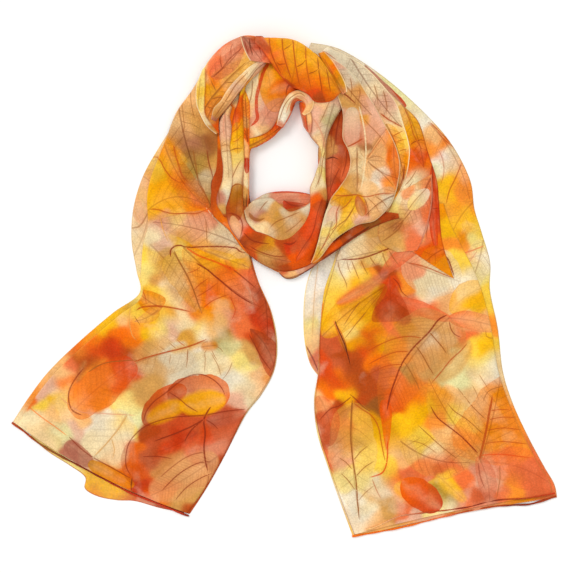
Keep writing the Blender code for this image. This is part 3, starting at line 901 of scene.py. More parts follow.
lay_ply(
    "left_tail_upper_ply", "left_tail",
    (
        (-275, -142, -100, -233, 2.4, 3.6, 2.4, 7.5), (-257, -114, -82, -207, 2.4, 5.4, 2.4, 5),
        (-235, -87, -63, -174, 2.4, 6.4, 2.4, 2.5), (-204, -58, -42, -133, 2.4, 7.0, 2.5, 0),
        (-171, -30, -25, -110, 2.6, 7.4, 2.8, 0), (-148, -11, -12, -86, 3.4, 7.4, 2.8, 0),
        (-148, 16, -9, -58, 4.4, 7.9, 2.8, 0), (-146, 42, -15, -26, 5.0, 8.4, 3.1, 0),
        (-141, 63, -29, 7, 5.6, 8.4, 3.8, 0), (-142, 89, -37, 37, 6.0, 8.4, 4.8, 0),
        (-139, 109, -41, 73, 6.0, 8.8, 5.2, 0), (-130, 133, -45, 114, 6.0, 9.4, 5.4, 0),
        (-122, 153, -45, 153, 6.0, 9.6, 6.0, 0), (-112, 179, -39, 183, 6.0, 10.0, 7.0, 0),
        (-97, 200, -29, 206, 6.5, 11.0, 8.0, 0), (-83, 222, -14, 222, 7.0, 11.0, 9.0, 0),
        (-65, 241, -5, 228, 7.0, 10.5, 9.0, 0),
    ),
    {
        "pale": (-46, 41, 8, -114, 3, 9, -81, -48, 8, -54, -98, 8, -192, -141, 10),
        "cream": (
            -118, 163, 9, -65, 60, 9, -136, 52, 9, -112, -14, 7, -102, -32, 9, -108, -34, 7,
            -61, -80, 8, -42, -100, 10, -83, -80, 9, -270, -131, 9, -256, -141, 9, -247, -158, 8,
            -178, -153, 10, -190, -164, 10, -198, -158, 8,
        ),
        "grey_cream": (-80, 111, 8, -57, 48, 9, -122, -77, 9, -114, -90, 10, -102, -77, 9),
        "peach": (
            -95, 196, 14, -108, 177, 11, -104, 163, 9, -167, -36, 8, -237, -88, 9, -30, -96, 8,
            -223, -129, 8, -206, -133, 6, -239, -135, 8, -171, -172, 9, -100, -188, 7,
            -87, -192, 7,
        ),
        "pink": (
            -132, 66, 8, -118, 58, 7, -97, 62, 8, -124, 45, 7, -116, -45, 6, -246, -104, 11,
            -52, -119, 8, -214, -145, 6,
        ),
        "rose": (-89, 64, 9, -77, 68, 8, -36, -6, 9, -75, -166, 7),
        "salmon": (-46, 14, 7, -34, 11, 9, -42, -14, 9, -50, -26, 10, -225, -73, 9, -93, -168, 8),
        "coral": (-46, -41, 10),
        "pale_yellow": (
            -112, 67, 8, -143, 19, 9, -120, -14, 9, -103, 33, 8, -89, -41, 8, -128, -43, 7,
            -48, -80, 9, -159, -119, 9,
        ),
        "butter": (
            -131, 120, 8, -141, 35, 9, -132, -4, 9, -159, -26, 9, -245, -123, 7, -169, -141, 8,
        ),
        "yellow": (
            -136, 83, 9, -87, 30, 8, -50, 25, 9, -139, -26, 8, -139, -47, 8, -186, -41, 9,
            -229, -119, 9,
        ),
        "bright": (-124, 93, 11, -118, 83, 9, -81, 25, 8),
        "gold": (
            -118, 122, 10, -131, 105, 9, -110, 91, 9, -110, 48, 8, -91, 47, 9, -132, 25, 8,
            -65, 33, 9, -141, -10, 9, -124, -26, 8, -72, -38, 8, -97, -51, 6,
        ),
        "amber": (
            -121, 140, 10, -93, 83, 8, -77, 15, 10, -65, -20, 9, -81, -32, 9, -186, -116, 8,
            -186, -188, 7,
        ),
        "light_orange": (
            -108, 111, 7, -91, 15, 9, -24, -92, 7, -155, -41, 8, -214, -61, 8, -191, -96, 11,
            -202, -112, 9,
        ),
        "orange": (
            -62, 9, 10, -85, -12, 9, -52, -10, 8, -95, -24, 7, -171, -51, 9, -153, -55, 8,
            -262, -116, 5, -229, -100, 7, -167, -199, 7, -153, -166, 6, -158, -180, 6,
            -120, -211, 8,
        ),
        "deep_orange": (
            -102, 103, 8, -81, 79, 6, -75, -1, 9, -169, -100, 9, -147, -186, 7, -136, -207, 8,
        ),
        "red_orange": (
            -90, 92, 8, -72, 71, 6, -61, 17, 6, -32, -45, 6, -163, -86, 10, -195, -59, 10,
            -118, -168, 7, -83, -151, 7,
        ),
        "red": (-34, -28, 11, -17, -36, 9, -171, -63, 9, -112, -155, 7, -151, -205, 8),
        "rust": (
            -73, 83, 7, -22, -20, 9, -17, -51, 8, -24, -55, 6, -159, -71, 9, -206, -71, 9,
            -139, -147, 7, -136, -176, 7, -95, -229, 7, -75, -182, 6,
        ),
        "maroon": (-27, -6, 7), "brown": (-110, 152, 8, -81, 146, 9, -97, 136, 8),
        "tan": (
            -91, 177, 12, -82, 165, 8, -74, 130, 9, -122, 23, 8, -114, 15, 8, -128, 11, 8,
            -108, -7, 8, -40, 27, 7, -128, -61, 7, -36, -67, 8, -143, -67, 8, -139, -82, 8,
            -132, -96, 8, -149, -102, 9, -141, -114, 7, -126, -192, 8, -112, -182, 8,
            -104, -201, 8, -104, -219, 8, -87, -207, 8,
        ),
        "ochre": (-93, -20, 8), "olive": (-88, 130, 11, -95, 118, 9, -81, 97, 10, -63, -53, 6),
        "grey_green": (-54, -65, 8), "pale_green": (-235, -151, 8, -155, -129, 8),
        "mauve": (-94, 148, 11, -216, -166, 7, -204, -176, 7),
        "brick": (
            -13, -82, 6, -13, -67, 8, -123, -144, 8, -132, -160, 8, -97, -141, 8, -77, -137, 7,
            -58, -131, 7, -65, -147, 7,
        ),
    },
    (
        (-110, 191, -71, 74, 20, -6, "ovate", "tan", "olive", 0.3, 11, 0.8),
        (-128, 163, -81, 81, 13, -8, "drop", "bright", "red_orange", 0.4, 8, 0.55),
        (-143, 76, -81, 83, 20, 12, "ovate", "bright", "light_orange", 0.35, 9, 0.5),
        (-36, 37, -136, 66, 20, -6, "ovate", "cream", "rose", 0.42, 7, 0.65),
        (-139, 44, -91, -26, 16, 5, "blur", "ochre", "grey_cream", 0.25, 4, 0.5),
        (-114, 35, -85, -28, 20, 2.3, "heart", "butter", "amber", 0.4, 9, 0.7),
        (-104, 40, -24, -22, 15, -3.5, "ovate", "amber", "salmon", 0.35, 9, 0.65),
        (-83, 37, -36, 19, 6, 0, "oval", "bright", "butter", 0.5, 7, 0.5),
        (-30, 25, -19, -65, 14, 5, "ovate", "salmon", "red", 0.45, 8, 0.6),
        (-36, -43, -10, -92, 12, 6, "drop", "rust", "brick", 0.8, 7, 0.45),
        (-126, -22, -155, -2, 12, 2, "heart", "amber", "amber", 0.75, 7, 0.6),
        (-130, -24, -155, -36, 7, 2, "heart", "gold", "peach", 0.6, 7, 0.5),
        (-79, -56, -157, -80, 24, -1.4, "oval", "cream", "tan", 0.2, 9, 0.45),
        (-118, -67, -81, -57, 5, 0, "blur", "bright", "gold", 0.5, 5, 0.2),
        (-87, -62, -68, -60, 6, 0, "blur", "amber", "amber", 0.8, 18, 2.5),
        (-219, -130, -154, -77, 20, 3, "blunt", "light_orange", "red_orange", 0.65, 6, 0.3),
        (-214, -100, -204, -75, 4, 1, "blur", "brown", "tan", 0.5, 9, 0.0),
        (-161, -129, -208, -186, 24, 3.5, "blur", "pale", "cream", 0.5, 9, 0.4),
        (-225, -160, -198, -184, 9, 0, "blunt", "mauve", "mauve", 0.8, 10, 0.2),
        (-202, -181, -155, -205, 8, 0, "blunt", "ochre", "amber", 0.9, 10, 0.2),
        (-24, -149, -167, -188, 38, 0, "blunt", "red_orange", "rust", 0.4, 30, 0.1),
        (-69, -174, -139, -215, 20, 3, "blur", "peach", "peach", 0.65, 3.5, 0.4),
        (-89, -149, -132, -170, 8, 2, "blur", "red", "red_orange", 0.5, 7, 0.3),
        (-155, -158, -157, -199, 6, 0, "blur", "orange", "deep_orange", 0.4, 7, 0.2),
        (-81, -139, -40, -130, 9, 0, "blur", "mauve", "brick", 0.6, 8, 0.2),
        (-145, -141, -102, -102, 14, 3, "oval", "rust", "deep_orange", 0.9, 30, 0.1),
        (-120, -116, -57, -106, 21, 0, "blunt", "rust", "orange", 0.85, 30, 0.2),
        (-142, -138, -101, -119, 10, 1, "blur", "gold", "bright", 0.85, 8, 0.1),
        (-109, -123, -60, -115, 13, 0, "blur", "bright", "yellow", 0.95, 8, 0.1),
    ),
    (
        (-139, -10, -65, 228, 8, 7, 2.0), (-83, -14, -54, 171, 5, 8, 2.6),
        (-147, -4, -24, -63, 6, 9, 2.4), (-116, 31, -36, 35, 2, 4, 1.4),
        (-231, -108, -91, -209, 7, 12, 2.2), (-48, 25, -73, -112, -7, 10, 2.6),
        (-167, -45, -139, -188, 8, 9, 1.8), (-106, -92, -97, -158, 4, 5, 1.6),
        (-190, -55, -231, -158, 5, 9, 1.6), (-120, 103, -54, 52, 2, 3.5, 2.4),
        (-128, -45, -42, -67, -4, 5, -1.4), (-63, -127, -128, -219, -4, 8, 1.6),
        (-112, 105, -61, 62, 0, 3.5, -2.0),
    ),
    (
        (0.5, "brown", 0.6, (-97, 202, -96, 188, -94, 178, -91, 169)),
        (0.4, "brown", 0.6,
            (-106, 189, -104, 173, -103, 162, -108, 154), (-122, -66, -128, -62, -132, -59),
            (-117, -69, -118, -75, -119, -82), (-82, -68, -82, -80, -83, -90),
            (-76, -68, -69, -80, -65, -94), (-54, -77, -58, -87, -66, -97),
        ),
        (0.6, "rust", 0.75, (-133, 133, -128, 129, -123, 120, -116, 111, -106, 105)),
        (0.7, "rust", 0.75,
            (-114, 145, -112, 135, -108, 122, -105, 113, -97, 105),
            (-139, 79, -131, 79, -118, 75, -104, 75, -91, 75, -79, 79),
        ),
        (0.6, "brown", 0.75,
            (-94, 140, -91, 122, -88, 105, -79, 91), (-202, -88, -186, -79, -165, -76, -149, -75),
        ),
        (0.7, "maroon", 0.75,
            (-80, 140, -78, 127, -74, 113, -73, 105), (-58, 20, -50, 15, -40, 7, -29, -3),
        ),
        (0.8, "maroon", 0.9,
            (-68, 159, -68, 144, -67, 134, -70, 118, -75, 105, -74, 89, -75, 74),
            (-117, 30, -117, 37, -113, 41, -107, 42, -100, 40, -79, 41, -53, 40, -46, 36, -38, 34),
            (-91, 24, -79, 17, -71, 10, -54, -4, -46, -10, -30, -20),
        ),
        # a painted highlight along the edge of a fold
        (0.4, "cream", 0.6, (-81, 81, -71, 69, -60, 58, -46, 45, -36, 31)),
        (0.4, "brown", 0.75,
            (-81, 69, -80, 52, -79, 42), (-111, -64, -116, -60, -120, -56),
            (-81, -65, -83, -70, -82, -76), (-75, -65, -73, -70, -68, -77),
            (-71, -61, -66, -64, -62, -69),
        ),
        (0.4, "gold", 0.6, (-128, 71, -125, 59, -119, 44)),
        (1.0, "red_orange", 0.75, (-102, 40, -87, 31, -70, 25, -58, 19, -46, 15)),
        (0.7, "brown", 0.75, (-114, 37, -108, 25, -101, 13, -97, 5, -90, -14, -86, -26)),
        (0.4, "rust", 0.75, (-101, 13, -91, 17, -83, 23)),
        (0.5, "rust", 0.75,
            (-94, -4, -85, 4, -76, 10), (-91, -11, -81, -5, -67, 5), (-84, -22, -73, -14, -55, -7),
            (-146, -4, -143, -12, -142, -20), (-102, -61, -107, -58, -113, -52),
        ),
        (0.4, "dark", 0.75, (-45, 24, -39, 20)),
        (0.5, "red", 0.6, (-57, -9, -51, -24, -56, -36)),
        (0.9, "rust", 0.9, (-153, -25, -146, -21, -130, -20, -114, -22, -95, -26)),
        (0.4, "tan", 0.75,
            (-158, -16, -160, -32, -157, -49, -151, -56), (-178, -155, -175, -168, -178, -178),
        ),
        (0.5, "brown", 0.75, (-155, -30, -151, -36, -147, -42), (-100, -64, -100, -75, -102, -85)),
        (0.8, "rust", 0.9,
            (-155, -77, -139, -72, -121, -67, -108, -64, -97, -61, -85, -56, -78, -53),
        ),
        (0.6, "maroon", 0.75,
            (
                -145, -139, -142, -128, -134, -118, -121, -108, -110, -99, -99, -92, -86, -90,
                -74, -95, -65, -104, -61, -113,
            ),
            (-119, -108, -110, -114, -100, -122, -87, -130),
            (-37, -49, -32, -58, -24, -73, -13, -88),
            (
                -40, -126, -61, -128, -83, -132, -102, -133, -119, -135, -139, -141, -151, -149,
                -159, -159, -163, -172, -163, -185, -157, -196,
            ),
            (-82, -136, -74, -141, -67, -148), (-76, -180, -91, -182, -110, -193, -128, -211),
            (-222, -154, -210, -166, -198, -175, -178, -186, -157, -198),
        ),
        (0.8, "maroon", 0.75,
            (-208, -132, -218, -127, -222, -116, -221, -105, -214, -93, -205, -82),
        ),
        (0.9, "maroon", 0.9, (-76, -123, -83, -136, -82, -151, -83, -170, -79, -192)),
        (0.7, "maroon", 0.9,
            (-83, -136, -93, -144, -100, -153, -104, -162),
            (-83, -136, -97, -144, -116, -152, -136, -159),
        ),
        (0.5, "maroon", 0.75,
            (-146, -174, -130, -174, -114, -177), (-75, -192, -87, -197, -102, -207, -114, -221),
        ),
        (0.5, "maroon", 0.6,
            (-83, -170, -97, -173, -112, -182, -130, -197), (-80, -188, -79, -199, -85, -217),
        ),
        (0.9, "dark", 0.75, (-157, -196, -158, -203, -158, -212)),
        (0.5, "tan", 0.75, (-161, -131, -171, -147, -186, -164, -198, -176)),
        (0.5, "orange", 0.75, (-266, -122, -246, -137, -222, -154)),
        (0.5, "rose", 0.6, (-231, -114, -210, -128, -186, -130, -151, -132)),
    ),
    seed=2.1, edges=(("pale_yellow", 0.1), ("maroon", 0.5)), ends=(0.0, 9.0),
)


# Right rolled hems: the same tight roll along the scarf's right end. The hem of the
# second ply shows above the first, a little further up the tail.
RIGHT_HEM = (
    (69, -257, 0.2), (88, -254, 0.2), (108, -250, 0.2), (135, -244, 0.2), (162, -237, 0.2),
    (190, -230, 0.2), (216, -226, 0.2), (252, -224, 0.2), (279, -216, 0.2),
)
right_hem = rolled_hem(
    "right_rolled_hem", "right_hem", RIGHT_HEM, 1.0,
    {
        "salmon": (160, -236, 20), "orange": (72, -256, 30, 118, -249, 30),
        "rust": (201, -228, 20, 279, -215, 14), "maroon": (252, -225, 20),
    },
)
SECOND_HEM = (
    (83, -250, 3), (94, -247, 3), (106, -241, 3), (118, -235, 3), (143, -232, 3), (166, -230, 3),
    (190, -226, 3), (203, -222, 3), (219, -219, 3), (246, -218, 3), (277, -212, 3),
)
second_hem = rolled_hem(
    "right_second_hem", "right_hem", SECOND_HEM, 0.7,
    {
        "peach": (88, -245, 20), "rose": (118, -232, 20), "red": (277, -213, 14),
        "rust": (149, -230, 20, 252, -219, 20), "maroon": (201, -223, 20),
    },
)


# Right under-ply: the folded edge that shows to the left of the right tail, one sheer
# pale ply flat on the table.
lay_ply(
    "right_under_ply", "right_underlayer",
    (
        (46, 40, 77, 40, 1, 1, 1), (30, 23, 69, 23, 1, 1, 1), (22, 2, 67, 2, 1, 1, 1),
        (19, -24, 67, -24, 1, 1, 1), (20, -55, 67, -55, 1, 1, 1), (26, -80, 69, -80, 1, 1, 1),
        (38, -96, 73, -96, 1, 1, 1),
    ),
    {
        "white": (30, 3, 14), "pale": (38, 29, 14, 22, -20, 12, 62, -24, 20),
        "peach": (25, -55, 10), "salmon": (32, -80, 9), "pale_yellow": (21, -39, 10),
    },
    lines=(
        (0.8, "maroon", 0.9, (21, -60, 26, -69, 32, -82, 35, -90)),
        (0.4, "tan", 0.6, (34, 25, 30, -14, 28, -55)),
    ),
    share=0.7, unevenness=0.1, edges=(("butter", 0.6), ("ochre", 0.3)), slot="pale_chiffon",
)


# Right tail: the scarf's right end, from its hem up the right side to the wrap. A wide
# lower ply reaches the outer edge, a second lies on its lower half, and towards the top
# three folded bands lie side by side, each lapping the one outside it.
RIGHT_TAIL = (
    (70, -258, 280, -217, 2.0, 3.0, 2.0, -3), (55, -217, 277, -203, 2.0, 5.0, 2.0, -2),
    (44, -185, 266, -184, 2.0, 6.0, 2.0, 0), (33, -150, 249, -152, 2.0, 6.5, 2.0, 0),
    (30, -117, 234, -119, 2.2, 7.0, 2.2, 0), (34, -88, 224, -86, 3.0, 7.0, 2.2, 0),
    (36, -45, 219, -43, 3.5, 7.0, 2.5, 0), (40, -6, 211, -4, 3.5, 7.5, 2.5, 0),
    (50, 25, 211, 25, 4.0, 8.0, 2.5, 0), (57, 50, 202, 57, 4.0, 8.0, 2.5, 0),
    (67, 77, 195, 80, 4.5, 8.0, 2.5, 0), (71, 104, 190, 111, 5.0, 8.5, 2.5, 0),
    (69, 130, 169, 150, 5.5, 9.0, 2.8, 0), (61, 155, 135, 187, 6.0, 9.5, 3.0, 0),
    (46, 180, 96, 220, 7.0, 10.0, 3.5, 0), (28, 200, 57, 244, 8.0, 11.0, 4.0, 0),
    (9, 217, 27, 251, 8.0, 11.0, 5.0, 0),
)
lay_ply(
    "right_tail_lower_ply", "right_tail", RIGHT_TAIL,
    {
        "white": (162, 129, 9), "pale": (89, 226, 12, 143, 175, 10, 202, 27, 9, 56, -219, 16),
        "cream": (174, 136, 8, 219, -82, 14, 54, 29, 7), "grey_cream": (47, 246, 14, 69, 237, 14),
        "peach": (155, 159, 9, 227, -112, 14, 98, -248, 14, 139, 68, 20), "pink": (149, -237, 14),
        "rose": (200, -227, 14), "salmon": (38, -168, 9, 262, -178, 20),
        "pale_yellow": (198, 44, 8, 198, 13, 9, 49, 15, 7, 67, -178, 50),
        "butter": (196, 60, 8, 180, 25, 9, 206, -6, 9, 215, -59, 9, 211, -18, 9, 43, -4, 8),
        "yellow": (166, 111, 9, 167, 95, 10, 184, 68, 9, 169, 56, 9),
        "amber": (169, 77, 10, 182, 48, 9, 149, -168, 60, 118, 140, 20),
        "light_orange": (
            151, 144, 7, 167, 148, 7, 183, 122, 8, 184, 105, 8, 186, 87, 9, 169, 42, 7, 186, 35, 6,
            215, -34, 9, 241, -141, 14, 38, -30, 9,
        ),
        "orange": (118, -14, 30), "red_orange": (33, -92, 9), "rust": (35, -61, 9),
        "pale_green": (108, 208, 12, 126, 192, 12, 156, 122, 5, 184, 1, 9),
        "brick": (30, -129, 10),
    },
    (
        (81, 229, 124, 184, 6, -3, "drop", "rust", "red", 0.95, 12, 0.3),
        (46, 249, 126, 179, 18, -6, "ovate", "pale", "grey_cream", 0.35, 9, 0.5),
        (147, 169, 190, 89, 17, 7, "ovate", "peach", "light_orange", 0.12, 9, 0.55),
        (196, 89, 167, 35, 17, -6, "oval", "butter", "amber", 0.15, 9, 0.5),
        (204, 48, 182, -14, 14, 3, "ovate", "cream", "pale", 0.3, 7, 0.6),
        (159, -45, 67, -117, 34, 5, "ovate", "tan", "orange", 0.6, 12, 0.7),
        (77, -188, 159, -137, 30, 5, "ovate", "pale", "amber", 0.6, 12, 0.7),
        (221, -209, 159, -158, 26, 5, "ovate", "mauve", "orange", 0.6, 12, 0.7),
    ),
    lines=(
        (0.7, "rust", 0.75, (149, 169, 157, 161, 165, 153, 174, 144)),
        (0.5, "rust", 0.75, (156, 160, 165, 150, 177, 140, 183, 130)),
        (0.4, "rust", 0.6, (158, 140, 162, 130, 163, 116, 159, 103)),
        (0.6, "rust", 0.75, (182, 128, 176, 113, 169, 99, 165, 83)),
        (0.7, "salmon", 0.75, (163, 33, 176, 33, 192, 37, 207, 43)),
        (0.5, "rose", 0.6, (198, 37, 188, 24, 175, 12)),
    ),
    share=0.55, seed=3.2, edges=(("ochre", 0.3), ("olive", 0.5)), ends=(0.0, 9.0),
)

lay_ply(
    "right_tail_upper_ply", "right_tail",
    (
        (71, -255, 275, -213, 2.4, 3.6, 2.4, -3), (56, -216, 272, -200, 2.4, 5.6, 2.4, -2),
        (45, -184, 260, -181, 2.4, 6.8, 2.4, 0), (34, -148, 243, -149, 2.4, 7.2, 2.4, 0),
        (31, -116, 229, -116, 2.6, 7.6, 2.6, 0), (35, -87, 219, -85, 3.4, 7.6, 2.6, 0),
        (36, -45, 212, -43, 3.8, 7.6, 2.8, 0), (41, -12, 204, -10, 4.0, 8.0, 3.4, 0),
        (50, 19, 194, 17, 4.4, 8.4, 4.2, 0), (57, 42, 182, 40, 4.6, 8.4, 5.0, 0),
        (69, 64, 171, 62, 5.0, 8.4, 5.6, 0), (75, 85, 163, 85, 5.2, 8.6, 6.0, 0),
    ),
    {
        "pale": (
            61, 33, 7, 61, 21, 7, 153, -8, 9, 178, 3, 8, 215, -90, 9, 63, -217, 9, 73, -240, 12,
            98, -209, 8,
        ),
        "cream": (
            75, 37, 8, 143, 3, 9, 159, 3, 9, 188, 3, 8, 198, -90, 8, 83, -227, 8, 149, -170, 8,
            159, -231, 7,
        ),
        "grey_cream": (147, -55, 8),
        "peach": (
            147, 31, 6, 161, 25, 7, 163, -16, 8, 165, -36, 7, 184, -32, 8, 206, -34, 8,
            194, -106, 8, 37, -123, 7, 120, -170, 9, 171, -114, 8, 190, -121, 8, 165, -155, 9,
            112, -207, 8, 95, -246, 8,
        ),
        "pink": (134, -238, 7), "rose": (204, -184, 7, 208, -197, 8, 200, -225, 7),
        "salmon": (
            130, 52, 9, 143, 48, 7, 121, 29, 8, 139, -20, 7, 52, -180, 8, 249, -188, 10,
            262, -203, 10, 217, -211, 8, 126, -192, 8, 182, -217, 8, 118, -225, 8, 251, -217, 8,
        ),
        "coral": (
            130, 37, 8, 132, 19, 7, 155, -26, 7, 108, -43, 8, 182, -47, 8, 229, -180, 10,
            143, -182, 8, 186, -197, 7,
        ),
        "pale_yellow": (
            56, 7, 7, 71, 17, 8, 95, 27, 7, 64, -42, 6, 204, -77, 9, 59, -199, 8, 81, -199, 9,
            155, -227, 7,
        ),
        "butter": (
            81, 9, 7, 50, -6, 8, 178, 25, 8, 73, -30, 8, 48, -22, 7, 190, -59, 7, 83, -174, 9,
            91, -184, 8, 139, -155, 9, 180, -129, 9, 106, -190, 8,
        ),
        "yellow": (
            69, 3, 8, 167, 60, 8, 197, -13, 10, 48, -36, 8, 204, -61, 8, 57, -110, 6, 126, -141, 9,
            171, -205, 8,
        ),
        "bright": (102, 33, 7, 85, -158, 9, 143, -129, 9),
        "gold": (
            85, 23, 8, 83, -26, 7, 67, -20, 8, 69, -55, 8, 81, -139, 9, 102, -61, 8, 114, -158, 8,
        ),
        "amber": (
            163, 76, 8, 89, -43, 7, 61, -162, 7, 116, -65, 8, 159, -121, 9, 210, -106, 8,
            221, -125, 9, 225, -158, 10,
        ),
        "light_orange": (
            89, 11, 6, 123, 3, 6, 173, 44, 7, 139, -100, 8, 155, -139, 8, 180, -158, 8,
            233, -141, 10, 241, -166, 9, 237, -205, 9,
        ),
        "orange": (
            61, -92, 8, 42, -108, 8, 61, -141, 7, 95, -80, 8, 116, -100, 8, 126, -108, 9,
            130, -211, 9, 118, -201, 8,
        ),
        "deep_orange": (110, -119, 8),
        "red_orange": (108, -2, 6, 42, -80, 8, 46, -96, 9, 83, -55, 9, 165, -182, 8),
        "red": (112, -14, 8),
        "rust": (
            116, 56, 8, 101, 15, 6, 120, -26, 9, 106, -28, 9, 61, -67, 7, 54, -125, 7, 71, -77, 9,
            75, -96, 9, 85, -110, 8,
        ),
        "brown": (104, 48, 7, 89, -125, 7),
        "tan": (
            89, 42, 8, 137, -38, 8, 151, -38, 8, 105, -229, 8, 132, -55, 8, 163, -57, 8,
            145, -73, 8, 163, -73, 7, 186, -170, 7, 91, -219, 8,
        ),
        "ochre": (122, -43, 8, 74, -158, 6), "olive": (129, -90, 6, 163, -217, 7),
        "grey_green": (153, -88, 8), "pale_green": (176, -77, 9, 180, -94, 9),
        "brick": (44, -61, 8, 59, -80, 8, 42, -141, 9, 50, -158, 8, 102, -94, 8, 200, -215, 7),
    },
    (
        (145, 42, 48, 25, 16, -2.8, "oval", "peach", "cream", 0.35, 7, 0.6),
        (120, 27, 180, 5, 26, -1, "oval", "cream", "pale", 0.4, 4, 0.5),
        (104, 1, 38, -51, 15, -3, "oval", "gold", "yellow", 0.5, 7, 2.6),
        (141, 44, 98, 11, 8, -3, "oval", "salmon", "salmon", 0.75, 14, 0.1),
        (106, 16, 52, -18, 7, 2, "blur", "mauve", "coral", 0.75, 14, 0.2),
        (114, -12, 171, -34, 7.5, -1, "oval", "salmon", "coral", 0.75, 14, 0.1),
        (107, 13, 109, -36, 21, 0, "cut", "red_orange", "rust", 0.6, 9, 0.3),
        (169, -26, 212, 1, 13, 5, "oval", "yellow", "yellow", 0.6, 10, 0.2),
        (167, -32, 221, -43, 10, 2, "oval", "coral", "peach", 0.8, 14, 0.4),
        (49, -34, 63, -67, 2.6, 1, "drop", "orange", "maroon", 0.7, 9, 0.2),
        (168, -32, 100, -141, 34, -11, "heart", "tan", "orange", 0.45, 5, 0.5),
        (190, -55, 139, -96, 12, 8, "blur", "tan", "tan", 0.6, 30, 0.1),
        (102, -116, 104, -168, 6.5, 1, "heart", "deep_orange", "orange", 0.8, 20, 0.1),
        (69, -119, 77, -240, 25, -3.5, "ovate", "butter", "pale", 0.35, 12, 0.5),
        (34, -112, 46, -164, 11, 5, "oval", "coral", "brick", 0.5, 12, 0.3),
        (204, -180, 147, -94, 26, 4, "ovate", "peach", "butter", 0.2, 8, 0.6),
        (200, -180, 221, -92, 36, -2, "heart", "light_orange", "amber", 0.45, 9, 0.6),
        (200, -180, 278, -207, 20, 8, "oval", "coral", "salmon", 0.3, 12, 0.3),
        (112, -203, 132, -215, 8, 0, "blur", "butter", "orange", 0.8, 12, 0.1),
        (120, -199, 160, -228, 16, 0, "oval", "orange", "red", 0.95, 12, 0.1),
        (155, -192, 186, -221, 7, 0, "blur", "butter", "yellow", 0.7, 10, 0.3),
        (198, -174, 210, -221, 10, 3, "oval", "salmon", "rose", 0.5, 12, 0.4),
        (118, -158, 190, -180, 20, -8, "oval", "butter", "peach", 0.25, 8, 0.7),
    ),
    (
        (62, 25, 65, -240, -12, 9, 2.4), (159, -32, 106, -184, 6, 9, 2.2),
        (182, 7, 262, -205, -8, 11, 2.6), (120, -116, 139, -227, 4, 8, 1.8),
        (143, -10, 196, -180, 10, 9, 2.0), (98, 17, 46, -75, 5, 7, 1.6),
        (167, -65, 165, -127, 3, 4, -1.2), (206, -188, 241, -213, 2, 6, 1.6),
        (67, -219, 190, -227, 4, 6, 1.2), (56, 37, 143, 42, -4, 4, 1.4),
    ),
    (
        (0.8, "maroon", 0.9,
            (153, 35, 143, 41, 128, 44, 113, 41, 101, 37, 85, 31, 72, 28, 55, 28),
        ),
        (1.3, "dark", 0.9, (137, 44, 143, 41, 151, 36, 159, 32)),
        (0.5, "brown", 0.75,
            (54, 27, 56, 17, 62, 5, 64, -4), (68, 27, 72, 17, 77, 5), (77, 28, 81, 19, 86, 10),
            (86, 31, 90, 25, 95, 19), (99, 35, 102, 27, 106, 18), (106, 37, 111, 29, 117, 21),
            (122, -77, 128, -86, 134, -98, 138, -108), (69, -180, 77, -170, 87, -162),
            (71, -197, 81, -186, 93, -178), (69, -188, 62, -180, 53, -174),
            (72, -209, 65, -199, 56, -190), (203, -151, 186, -136, 174, -128, 165, -118),
            (206, -136, 193, -124, 183, -111), (176, -176, 159, -163, 146, -151, 135, -141),
        ),
        (0.4, "brown", 0.6,
            (63, 28, 65, 19, 69, 11), (176, -103, 183, -112, 191, -121),
            (192, -101, 196, -109, 199, -118), (199, -90, 204, -98, 209, -106),
            (74, -221, 83, -211, 93, -203), (155, -171, 141, -161, 124, -157),
        ),
        (0.9, "maroon", 0.9,
            (149, 38, 157, 34, 166, 29, 171, 17, 174, 8),
            (166, -29, 157, -34, 147, -47, 133, -61, 121, -77, 114, -93, 108, -110, 104, -129),
        ),
        (0.8, "rust", 0.75, (126, 24, 137, 22, 149, 18, 161, 13, 174, 8)),
        (0.6, "maroon", 0.75,
            (110, 9, 116, 3, 120, -6, 128, -12), (66, -110, 73, -116, 80, -123, 89, -129),
            (168, -35, 170, -43, 174, -49, 182, -53), (68, -113, 56, -122, 46, -126, 34, -139),
        ),
        (0.4, "brown", 0.75, (77, -15, 69, -26, 59, -42), (83, -26, 73, -38, 60, -55)),
        (0.6, "dark", 0.9, (51, -34, 55, -45, 61, -59, 65, -73, 67, -82)),
        (0.6, "brown", 0.9,
            (147, -46, 155, -55, 161, -62, 167, -71), (134, -61, 141, -71, 147, -82, 153, -92),
        ),
        (0.5, "rust", 0.75,
            (141, -53, 128, -51, 114, -53, 98, -59, 83, -67),
            (128, -67, 114, -67, 100, -72, 83, -81), (120, -80, 106, -81, 93, -86, 81, -94),
        ),
        (0.7, "rust", 0.75, (187, -58, 181, -65, 170, -75, 160, -87, 149, -100)),
        (0.8, "red_orange", 0.9, (105, -158, 105, -174, 103, -185, 98, -192, 85, -196)),
        (0.5, "brown", 0.6,
            (206, -45, 207, -51, 213, -53, 220, -50), (203, -118, 208, -108, 216, -104, 227, -102),
            (220, -183, 220, -199, 217, -219),
        ),
        (0.8, "brown", 0.9,
            (69, -116, 68, -134, 67, -153, 69, -173, 72, -193, 74, -215, 76, -240),
        ),
        (0.6, "rust", 0.75, (70, -119, 78, -125, 88, -132, 95, -143, 99, -161, 103, -181)),
        (0.5, "rust", 0.6, (89, -197, 93, -207, 99, -219)),
        (1.3, "rust", 0.9, (199, -178, 204, -158, 207, -144, 210, -127, 213, -110)),
        (0.4, "rust", 0.75,
            (209, -128, 221, -126, 233, -127), (208, -137, 223, -134, 239, -135),
            (206, -148, 225, -145, 245, -148), (203, -161, 225, -159, 251, -162),
        ),
        (0.5, "red_orange", 0.75, (199, -173, 221, -172, 254, -176)),
        (0.7, "maroon", 0.9, (198, -171, 182, -155, 167, -143, 156, -134, 148, -120)),
        (0.6, "maroon", 0.6, (198, -180, 200, -194, 206, -209)),
    ),
    seed=4.4, edges=(("maroon", 0.5), ("olive", 0.35)),
)

